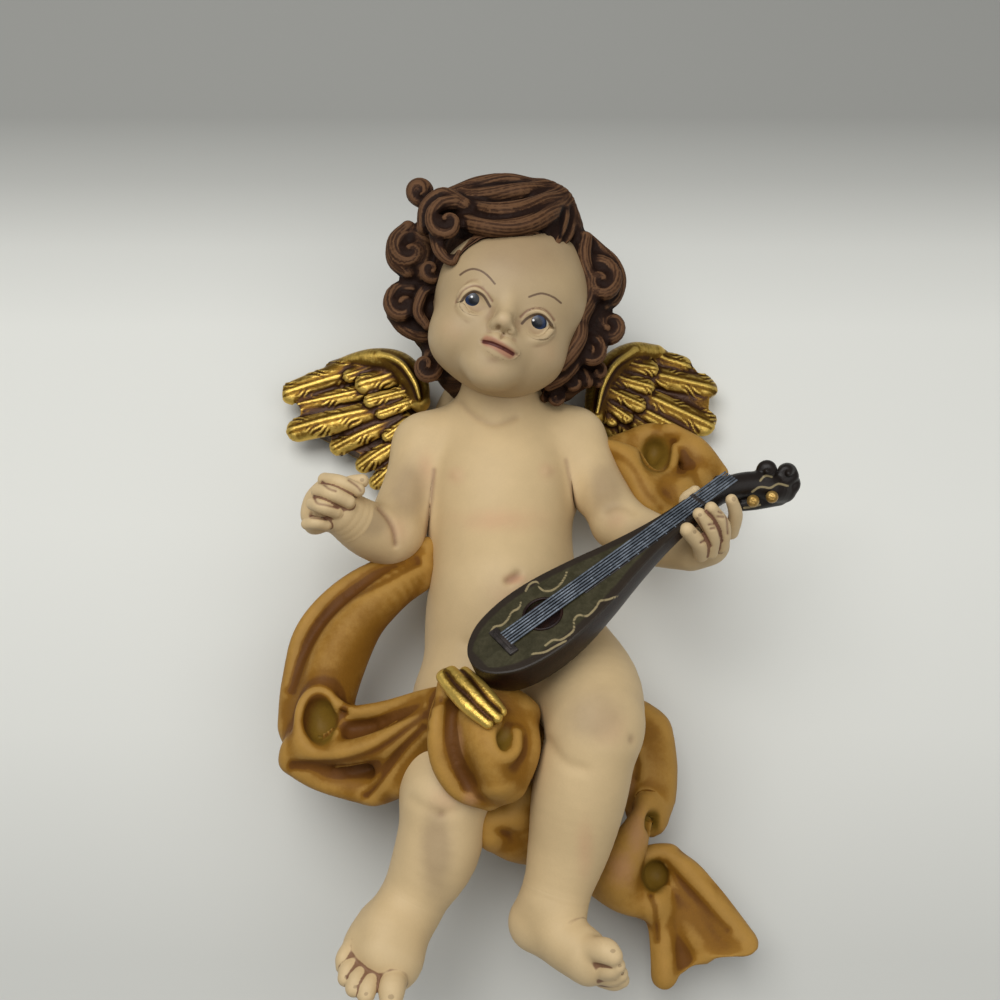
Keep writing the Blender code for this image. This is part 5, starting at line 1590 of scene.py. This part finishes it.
def mandolin():
    bowl = mandolin_bowl()
    board = mandolin_board(bowl)
    ring = sound_hole(board)
    board_marks(board)
    top = BOARD_THICK + 0.2
    bridge = bar("mandolin_bridge", (-1.8, -6.0, 0.6), (1.5, 6.0, 2.1))
    saddle = bar("bridge_saddle", (-0.5, -4.6, 1.8), (0.4, 4.6, 2.45), 0.2)
    neck = bar("mandolin_fingerboard", (30.0, -3.5, 0.3), (81.0, 3.5, top + 0.35), 0.25)
    nut = bar("mandolin_nut", (80.2, -3.4, 0.4), (82.0, 3.4, 2.3), 0.3)
    frets = bar("mandolin_frets", (40.0, -3.5, 0.9), (40.5, 3.5, top + 0.62), 0.15)
    frets = joined([frets] + [copied(frets, (4.0 * k, 0, 0)) for k in range(1, 10)])
    first = string()
    strings = joined([first] + [copied(first, (0, across - STRING_SPREAD[0], 0))
                                for across in STRING_SPREAD[1:]])
    for made, colours in ((board, BOARD), (bowl, SIDES), (ring, SIDES),
                          (joined([bridge, saddle]), DARK_WOOD),
                          (neck, DARK_WOOD), (nut, DARK_WOOD), (frets, STRING), (strings, STRING)):
        made.data.shade_smooth()
        only(made)
        bpy.ops.object.shade_smooth_by_angle(angle=math.radians(40))
        set_in_hand(made, colours)
    headstock()
    peg("mandolin_peg_low", 772, 497, 68.5)
    peg("mandolin_peg_high", 753, 501, 68.5)


# Paint: painted shade in the carved hollows and painted highlights on the ridges, laid over each piece's own
# colours

def wired(tree, kind, settings=None, **inputs):
    # adds a node whose inputs are values or other nodes' outputs
    made = tree.nodes.new(kind)
    for name, value in (settings or {}).items():
        setattr(made, name, value)
    for name, value in inputs.items():
        socket = made.inputs[int(name[1:])] if name[1:].isdigit() else made.inputs[name.replace("_", " ")]
        if isinstance(value, bpy.types.NodeSocket):
            tree.links.new(value, socket)
        else:
            socket.default_value = value
    return made.outputs[0]


def new_group(name, inputs, outputs):
    group = bpy.data.node_groups.new(name, "ShaderNodeTree")
    for title, kind, value in inputs:
        socket = group.interface.new_socket(title, in_out="INPUT", socket_type=kind)
        socket.default_value = value
    for title, kind in outputs:
        group.interface.new_socket(title, in_out="OUTPUT", socket_type=kind)
    return group, group.nodes.new("NodeGroupInput").outputs, group.nodes.new("NodeGroupOutput").inputs


def wash_group():
    # lays one colour over another where a mask is high, with a ragged brushed edge
    group, given, out = new_group("brushed_layer", [
        ("Below", "NodeSocketColor", (0.5, 0.5, 0.5, 1)), ("Above", "NodeSocketColor", (0.5, 0.5, 0.5, 1)),
        ("Mask", "NodeSocketFloat", 0.0), ("Low", "NodeSocketFloat", 0.2), ("High", "NodeSocketFloat", 0.8),
        ("Ragged", "NodeSocketFloat", 0.3), ("Scale", "NodeSocketFloat", 700.0),
        ("Cover", "NodeSocketFloat", 1.0),
    ], [("Colour", "NodeSocketColor"), ("Share", "NodeSocketFloat")])
    place = wired(group, "ShaderNodeTexCoord")
    place = place.node.outputs["Object"]
    noise = wired(group, "ShaderNodeTexNoise", None, Vector=place, Scale=given["Scale"], Detail=4.0,
                  Roughness=0.65)
    noise = wired(group, "ShaderNodeMath", {"operation": "SUBTRACT"}, _0=noise, _1=0.5)
    noise = wired(group, "ShaderNodeMath", {"operation": "MULTIPLY_ADD"}, _0=noise, _1=given["Ragged"],
                  _2=given["Mask"])
    share = wired(group, "ShaderNodeMapRange", {"interpolation_type": "SMOOTHSTEP"}, Value=noise,
                  From_Min=given["Low"], From_Max=given["High"])
    share = wired(group, "ShaderNodeMath", {"operation": "MULTIPLY"}, _0=share, _1=given["Cover"])
    mixed = mix_colour(group, share, given["Below"], given["Above"])
    group.links.new(mixed, out["Colour"])
    group.links.new(share, out["Share"])
    return group


def mix_colour(tree, share, below, above):
    made = tree.nodes.new("ShaderNodeMix")
    made.data_type = "RGBA"
    for socket, value in ((made.inputs[0], share), (made.inputs[6], below), (made.inputs[7], above)):
        if isinstance(value, bpy.types.NodeSocket):
            tree.links.new(value, socket)
        else:
            socket.default_value = value
    return made.outputs[2]


def grain_group():
    # slow mottling of a colour and the fine tooth of brushed paint
    group, given, out = new_group("brush_grain", [
        ("Colour", "NodeSocketColor", (0.5, 0.5, 0.5, 1)), ("Mottle", "NodeSocketFloat", 0.15),
        ("Scale", "NodeSocketFloat", 120.0), ("Tooth", "NodeSocketFloat", 1400.0),
    ], [("Colour", "NodeSocketColor"), ("Height", "NodeSocketFloat")])
    place = wired(group, "ShaderNodeTexCoord").node.outputs["Object"]
    slow = wired(group, "ShaderNodeTexNoise", None, Vector=place, Scale=given["Scale"], Detail=5.0,
                 Roughness=0.6)
    fine = wired(group, "ShaderNodeTexNoise", None, Vector=place, Scale=given["Tooth"], Detail=3.0,
                 Roughness=0.6)
    both = wired(group, "ShaderNodeMath", {"operation": "MULTIPLY_ADD"}, _0=fine, _1=0.4, _2=slow)
    both = wired(group, "ShaderNodeMath", {"operation": "SUBTRACT"}, _0=both, _1=0.7)
    gain = wired(group, "ShaderNodeMath", {"operation": "MULTIPLY_ADD"}, _0=both, _1=given["Mottle"],
                 _2=1.0)
    scaled = group.nodes.new("ShaderNodeVectorMath")
    scaled.operation = "SCALE"
    group.links.new(given["Colour"], scaled.inputs[0])
    group.links.new(gain, scaled.inputs["Scale"])
    group.links.new(scaled.outputs[0], out["Colour"])
    group.links.new(fine, out["Height"])
    return group


def attribute(tree, name):
    made = tree.nodes.new("ShaderNodeAttribute")
    made.attribute_name = name
    return made.outputs["Fac"]


def brushed(tree, below, above, mask, low, high, ragged=0.3, scale=700.0, cover=1.0):
    made = wired(tree, "ShaderNodeGroup", {"node_tree": WASH}, Below=below, Above=above, Mask=mask, Low=low,
                 High=high, Ragged=ragged, Scale=scale, Cover=cover)
    return made


def rgb(*values):
    return (*values, 1.0)


def new_material(name, rough, metallic=0.0, coat=0.0, shine=0.3):
    material = bpy.data.materials.new(name)
    material.use_nodes = True
    shader = material.node_tree.nodes["Principled BSDF"]
    shader.inputs["Roughness"].default_value = rough
    shader.inputs["Metallic"].default_value = metallic
    shader.inputs["Coat Weight"].default_value = coat
    shader.inputs["Coat Roughness"].default_value = 0.35
    shader.inputs["Specular IOR Level"].default_value = shine
    return material, material.node_tree, shader


def grained(tree, shader, colour, mottle, scale, tooth, bump, height=None):
    grain = wired(tree, "ShaderNodeGroup", {"node_tree": GRAIN}, Colour=colour, Mottle=mottle, Scale=scale,
                  Tooth=tooth).node
    tree.links.new(grain.outputs["Colour"], shader.inputs["Base Color"])
    top = grain.outputs["Height"]
    if height:
        top = wired(tree, "ShaderNodeMath", {"operation": "MULTIPLY_ADD"}, _0=height, _1=2.0, _2=top)
    bumped = wired(tree, "ShaderNodeBump", None, Strength=bump, Distance=0.0002, Height=top)
    tree.links.new(bumped, shader.inputs["Normal"])


def attribute_vector(tree, name):
    made = tree.nodes.new("ShaderNodeAttribute")
    made.attribute_name = name
    return made.outputs["Vector"]


def minus(tree, value):
    return wired(tree, "ShaderNodeMath", {"operation": "MULTIPLY"}, _0=value, _1=-1.0)


FLESH = rgb(0.58, 0.425, 0.225)
# the face's flesh, painted darker than the body's as painted shade
SHADED_FACE_FLESH = rgb(0.42, 0.305, 0.165)
# darker flesh laid in patches as painted shade
FLESH_SHADE_PATCH = rgb(0.33, 0.23, 0.125)
# painted highlight for the ridges, painted shade for the hollows and for the creases
FLESH_HIGHLIGHT = rgb(0.68, 0.52, 0.30)
FLESH_HOLLOW_SHADE = rgb(0.22, 0.115, 0.060)
FLESH_PAINTED_SHADE = rgb(0.17, 0.070, 0.045)
BLUSH = rgb(0.54, 0.29, 0.165)


def flesh_layers(tree, wash, flesh=FLESH):
    colour = brushed(tree, flesh, BLUSH, attribute(tree, "blush"), 0.1, 1.0, 0.35, 90.0, 0.75)
    # patches of painted shade
    colour = brushed(tree, colour, FLESH_SHADE_PATCH, attribute(tree, "tan"), 0.1, 0.9, 0.3, 120.0, 0.8)
    # painted highlights on the ridges, then painted shade in the hollows and along the creases
    colour = brushed(tree, colour, FLESH_HIGHLIGHT, minus(tree, attribute(tree, "hollow")), 0.1, 0.9, 0.3,
                     150.0, 0.3)
    colour = brushed(tree, colour, FLESH_HOLLOW_SHADE, attribute(tree, "hollow"), 0.15, 1.0, 0.2, 400.0, wash)
    colour = brushed(tree, colour, FLESH_HOLLOW_SHADE, attribute(tree, "fine_hollow"), 0.15, 1.0, 0.2, 900.0, wash)
    return brushed(tree, colour, FLESH_PAINTED_SHADE, attribute(tree, "painted_shade"), 0.02, 1.0, 0.12, 900.0, 0.75)


def skin_material(name, wash):
    # wash: how strongly the hollows are darkened as painted shade
    material, tree, shader = new_material(name, 0.55, coat=0.02, shine=0.25)
    colour = flesh_layers(tree, wash)
    colour = brushed(tree, colour, rgb(0.10, 0.045, 0.025), attribute(tree, "nail"), 0.35, 0.5, 0.15,
                     1200.0, 0.35)
    grained(tree, shader, colour, 0.16, 110.0, 1500.0, 0.25)
    return material


def face_material():
    material, tree, shader = new_material("cherub_face_paint", 0.5, coat=0.05)
    # the face's flesh is darker than the body's as painted shade, with lighter painted shade in its hollows
    colour = flesh_layers(tree, 0.35, SHADED_FACE_FLESH)
    colour = brushed(tree, colour, rgb(0.34, 0.13, 0.075), attribute(tree, "lips"), 0.25, 0.75, 0.1, 900.0,
                     0.8)
    mouth = minus(tree, attribute(tree, "mouth_gap"))
    colour = brushed(tree, colour, rgb(0.085, 0.016, 0.010), mouth, -2.5, -1.4, 0.4, 900.0, 1.0)
    lash = minus(tree, attribute(tree, "lash_gap"))
    colour = brushed(tree, colour, rgb(0.055, 0.025, 0.015), lash, -1.9, -0.9, 0.3, 1500.0, 0.85)
    brow = minus(tree, attribute(tree, "brow_gap"))
    colour = brushed(tree, colour, rgb(0.09, 0.045, 0.025), brow, -1.5, -0.6, 0.5, 1500.0, 0.85)
    grained(tree, shader, colour, 0.14, 110.0, 1500.0, 0.2)
    return material


def eye_material():
    material, tree, shader = new_material("eye_paint", 0.25, coat=0.5)
    iris = attribute(tree, "iris_gap")
    ramp = tree.nodes.new("ShaderNodeValToRGB")
    tree.links.new(iris, ramp.inputs[0])
    stops = ((0.0, rgb(0.004, 0.005, 0.008)), (0.50, rgb(0.004, 0.005, 0.008)),
             (0.58, rgb(0.007, 0.016, 0.045)),
             (0.80, rgb(0.012, 0.030, 0.085)), (0.88, rgb(0.006, 0.009, 0.02)),
             (0.96, rgb(0.008, 0.010, 0.02)),
             (1.0, rgb(0.55, 0.50, 0.40)))
    while len(ramp.color_ramp.elements) < len(stops):
        ramp.color_ramp.elements.new(0.5)
    for element, (place, colour) in zip(ramp.color_ramp.elements, stops):
        element.position, element.color = place, colour
    colour = ramp.outputs[0]
    inside = wired(tree, "ShaderNodeMath", {"operation": "LESS_THAN"}, _0=iris, _1=0.84)
    lower = wired(tree, "ShaderNodeMath", {"operation": "MULTIPLY"}, _0=attribute(tree, "lower"), _1=inside)
    colour = brushed(tree, colour, rgb(0.04, 0.10, 0.26), lower, 0.25, 0.9, 0.1, 900.0, 0.55)
    glint = minus(tree, attribute(tree, "glint_gap"))
    colour = brushed(tree, colour, rgb(0.95, 0.95, 0.95), glint, -1.5, -0.9, 0.0, 900.0, 0.8)
    grained(tree, shader, colour, 0.08, 300.0, 1500.0, 0.05)
    return material


def hair_material():
    material, tree, shader = new_material("hair_paint", 0.6, shine=0.12)
    comb = attribute_vector(tree, "comb")
    streak = wired(tree, "ShaderNodeTexNoise", None, Vector=comb, Scale=2.6, Detail=4.0, Roughness=0.7)
    colour = brushed(tree, rgb(0.022, 0.009, 0.004), rgb(0.085, 0.038, 0.018), streak, 0.34, 0.70, 0.1,
                     700.0)
    # painted highlights on the ridges of the strands and the locks
    colour = brushed(tree, colour, rgb(0.18, 0.090, 0.040), minus(tree, attribute(tree, "fine_hollow")),
                     0.2, 1.0,
                     0.8, 900.0, 0.6)
    colour = brushed(tree, colour, rgb(0.14, 0.066, 0.032), minus(tree, attribute(tree, "hollow")), 0.3,
                     1.0,
                     0.8, 500.0, 0.45)
    # painted shade in the hollows and along the carved groove
    colour = brushed(tree, colour, rgb(0.010, 0.004, 0.002), attribute(tree, "hollow"), 0.0, 0.5, 0.3,
                     500.0, 0.95)
    colour = brushed(tree, colour, rgb(0.016, 0.006, 0.003), attribute(tree, "fine_hollow"), 0.1, 0.7, 0.4,
                     700.0,
                     0.85)
    colour = brushed(tree, colour, rgb(0.008, 0.003, 0.002), attribute(tree, "painted_shade"), 0.2, 0.9, 0.3, 900.0,
                     0.95)
    grained(tree, shader, colour, 0.4, 200.0, 1500.0, 0.5, streak)
    return material


def cloth_material():
    material, tree, shader = new_material("drapery_paint", 0.55, shine=0.15)
    # ochre, lighter on the raised folds and the fine ridges as painted highlights
    colour = brushed(tree, rgb(0.215, 0.094, 0.009), rgb(0.31, 0.152, 0.021),
                     minus(tree, attribute(tree, "hollow")),
                     0.0, 0.8, 0.6, 160.0, 0.9)
    colour = brushed(tree, colour, rgb(0.44, 0.25, 0.060), minus(tree, attribute(tree, "fine_hollow")), 0.2,
                     1.0,
                     0.7, 500.0, 0.6)
    colour = brushed(tree, colour, rgb(0.40, 0.21, 0.09), attribute(tree, "pink"), 0.2, 0.9, 0.6, 200.0,
                     0.8)
    # painted shade in the hollows and along the fold valleys
    colour = brushed(tree, colour, rgb(0.10, 0.035, 0.006), attribute(tree, "hollow"), 0.3, 1.0, 0.4, 350.0,
                     0.65)
    colour = brushed(tree, colour, rgb(0.11, 0.038, 0.006), attribute(tree, "fine_hollow"), 0.1, 0.9, 0.4,
                     700.0,
                     0.75)
    colour = brushed(tree, colour, rgb(0.10, 0.035, 0.005), attribute(tree, "painted_shade"), 0.0, 1.1, 0.25, 260.0,
                     0.85)
    colour = brushed(tree, colour, rgb(0.175, 0.100, 0.011), attribute(tree, "olive"), 0.25, 0.75, 0.4,
                     300.0, 0.9)
    grained(tree, shader, colour, 0.3, 140.0, 1300.0, 0.5)
    return material


def gold_material():
    material, tree, shader = new_material("wing_gold", 0.36, metallic=0.7)
    # dark gold, with bright gold painted on the ridges as painted highlights
    colour = brushed(tree, rgb(0.19, 0.10, 0.010), rgb(0.72, 0.49, 0.11),
                     minus(tree, attribute(tree, "fine_hollow")),
                     0.25, 1.0, 1.0, 500.0, 0.9)
    # painted shade in the hollows, where the gold is also made less metallic
    colour = brushed(tree, colour, rgb(0.10, 0.042, 0.006), attribute(tree, "hollow"), -0.5, 0.4, 1.1,
                     260.0, 0.9)
    made = brushed(tree, colour, rgb(0.035, 0.012, 0.004), attribute(tree, "hollow"), 0.1, 0.8, 0.5, 350.0,
                   0.95)
    colour = brushed(tree, made, rgb(0.045, 0.016, 0.005), attribute(tree, "fine_hollow"), 0.1, 0.7, 0.6,
                     800.0, 0.9)
    grained(tree, shader, colour, 0.6, 170.0, 1300.0, 0.9)
    metal = wired(tree, "ShaderNodeMath", {"operation": "MULTIPLY_ADD"}, _0=made.node.outputs["Share"],
                  _1=-0.5,
                  _2=0.75)
    tree.links.new(metal, shader.inputs["Metallic"])
    return material


def wood_material(name, base, light, rough, coat, bump=0.3, metallic=0.0, margin=None):
    material, tree, shader = new_material(name, rough, metallic, coat, shine=0.2)
    place = wired(tree, "ShaderNodeTexCoord").node.outputs["Object"]
    streaks = wired(tree, "ShaderNodeTexNoise", None, Vector=place, Scale=260.0, Detail=6.0, Roughness=0.7,
                    Distortion=0.6)
    colour = brushed(tree, base, light, streaks, 0.35, 0.75, 0.3, 900.0, 0.9)
    if margin:
        edge = minus(tree, attribute(tree, "edge_gap"))
        colour = brushed(tree, colour, margin, edge, -3.4, -2.4, 1.0, 300.0, 0.85)
        scroll = minus(tree, attribute(tree, "scroll_gap"))
        colour = brushed(tree, colour, rgb(0.34, 0.27, 0.14), scroll, -1.5, -0.5, 1.0, 900.0, 0.8)
    grained(tree, shader, colour, 0.4, 150.0, 1500.0, bump)
    return material


# Stage

CAMERA_AT = (0.0, -0.4209, -0.1723)
CAMERA_TILT = 110.0
# name, place, size and power of each lamp, and the point they all look at
LIGHTS = (
    ("key_light", (-0.30, -1.0, 0.22), 0.8, 7.9),
    ("fill_light", (0.45, -1.0, -0.25), 1.2, 5.2),
)
LIGHTS_AIM = (0, -0.03, -0.05)
ROOM_COLOUR = (0.95, 0.97, 1.0)
ROOM_LIGHT = 0.21
WALL_SIZE = 2.4
WALL_BEHIND = 0.0012


def stage():
    camera = bpy.data.objects.new("camera", bpy.data.cameras.new("camera"))
    camera.data.lens, camera.data.sensor_width = LENS, SENSOR
    camera.location = CAMERA_AT
    camera.rotation_euler = (math.radians(CAMERA_TILT), 0, 0)
    bpy.context.scene.collection.objects.link(camera)
    bpy.context.scene.camera = camera
    for name, place, size, power in LIGHTS:
        light = bpy.data.objects.new(name, bpy.data.lights.new(name, "AREA"))
        light.data.size = size
        light.data.energy = power
        light.location = place
        aim = Vector(LIGHTS_AIM) - Vector(place)
        light.rotation_euler = aim.to_track_quat("-Z", "Y").to_euler()
        bpy.context.scene.collection.objects.link(light)
    world = bpy.data.worlds.new("pale_room")
    world.use_nodes = True
    world.node_tree.nodes["Background"].inputs[0].default_value = rgb(*ROOM_COLOUR)
    world.node_tree.nodes["Background"].inputs[1].default_value = ROOM_LIGHT
    bpy.context.scene.world = world
    bpy.context.scene.view_settings.view_transform = "Standard"
    bpy.ops.object.select_all(action="DESELECT")
    bpy.ops.mesh.primitive_plane_add(size=WALL_SIZE, location=(0, WALL_BEHIND, 0),
                                     rotation=(math.pi / 2, 0, 0))
    wall = bpy.context.object
    wall.name = "wall"
    bpy.ops.object.transform_apply(location=True, rotation=True, scale=True)
    wall.data.materials.append(wall_material())
    wall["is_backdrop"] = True


WALL_SPAN = 0.5          # height over which the wall's tone changes, about the origin
# rise on the wall, as a share of that height, and how pale it is painted there: darker towards the top and a
# little towards the bottom, as painted shade
WALL_SHADE_TONES = ((-0.38, 0.56), (-0.22, 0.68), (-0.06, 0.72), (0.12, 0.70), (0.20, 0.60), (0.27, 0.42),
              (0.34, 0.29))


def wall_material():
    material, tree, shader = new_material("pale_wall", 0.9)
    place = wired(tree, "ShaderNodeTexCoord").node.outputs["Object"]
    height = wired(tree, "ShaderNodeSeparateXYZ", None, Vector=place).node.outputs["Z"]
    # the wall's colour, darkened towards the top and the bottom as painted shade
    shade = tree.nodes.new("ShaderNodeValToRGB")
    along = wired(tree, "ShaderNodeMapRange", None, Value=height, From_Min=-WALL_SPAN / 2,
                  From_Max=WALL_SPAN / 2)
    tree.links.new(along, shade.inputs[0])
    while len(shade.color_ramp.elements) < len(WALL_SHADE_TONES):
        shade.color_ramp.elements.new(0.5)
    for element, (rise, tone) in zip(shade.color_ramp.elements, WALL_SHADE_TONES):
        element.position, element.color = rise + 0.5, rgb(tone, tone, 0.93 * tone)
    tree.links.new(shade.outputs[0], shader.inputs["Base Color"])
    back = tree.nodes.new("ShaderNodeNewGeometry")
    unseen = wired(tree, "ShaderNodeMath", {"operation": "SUBTRACT"}, _0=1.0, _1=back.outputs["Backfacing"])
    tree.links.new(unseen, shader.inputs["Alpha"])
    return material


WASH = wash_group()
GRAIN = grain_group()
SKIN = skin_material("cherub_flesh_paint", 0.5)
HAND_SKIN = skin_material("cherub_hand_paint", 1.0)
FACE_SKIN = face_material()
EYE_PAINT = eye_material()
HAIR = hair_material()
CLOTH = cloth_material()
GOLD = gold_material()
BOARD = wood_material("board_paint", rgb(0.030, 0.026, 0.010), rgb(0.060, 0.052, 0.026), 0.42, 0.1,
                      margin=rgb(0.020, 0.012, 0.008))
SIDES = wood_material("side_paint", rgb(0.009, 0.003, 0.002), rgb(0.024, 0.008, 0.004), 0.42, 0.03)
DARK_WOOD = wood_material("neck_paint", rgb(0.012, 0.009, 0.007), rgb(0.05, 0.04, 0.035), 0.4, 0.2)
HEAD_WOOD = wood_material("peg_box_paint", rgb(0.012, 0.009, 0.007), rgb(0.03, 0.023, 0.018), 0.38, 0.1,
                          margin=rgb(0.012, 0.008, 0.006))
STRING = wood_material("string_silver", rgb(0.075, 0.088, 0.105), rgb(0.22, 0.25, 0.29), 0.35, 0.0, 0.1,
                       0.5)
PEG_GOLD = wood_material("peg_gold", rgb(0.34, 0.20, 0.05), rgb(0.60, 0.40, 0.13), 0.35, 0.0, 0.2, 0.6)

carved_body()
carved_hands()
carved_feet()
carved_face()
eyes()
carved_hair()
carved_wing("left_wing", left_wing())
carved_wing("right_wing", right_wing())
carved_drapery()
mandolin()
for node, slot in (("figure", "painted_resin"), ("mandolin", "mandolin_paint")):
    for piece in PIECES[slot]:
        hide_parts(node)
stage()
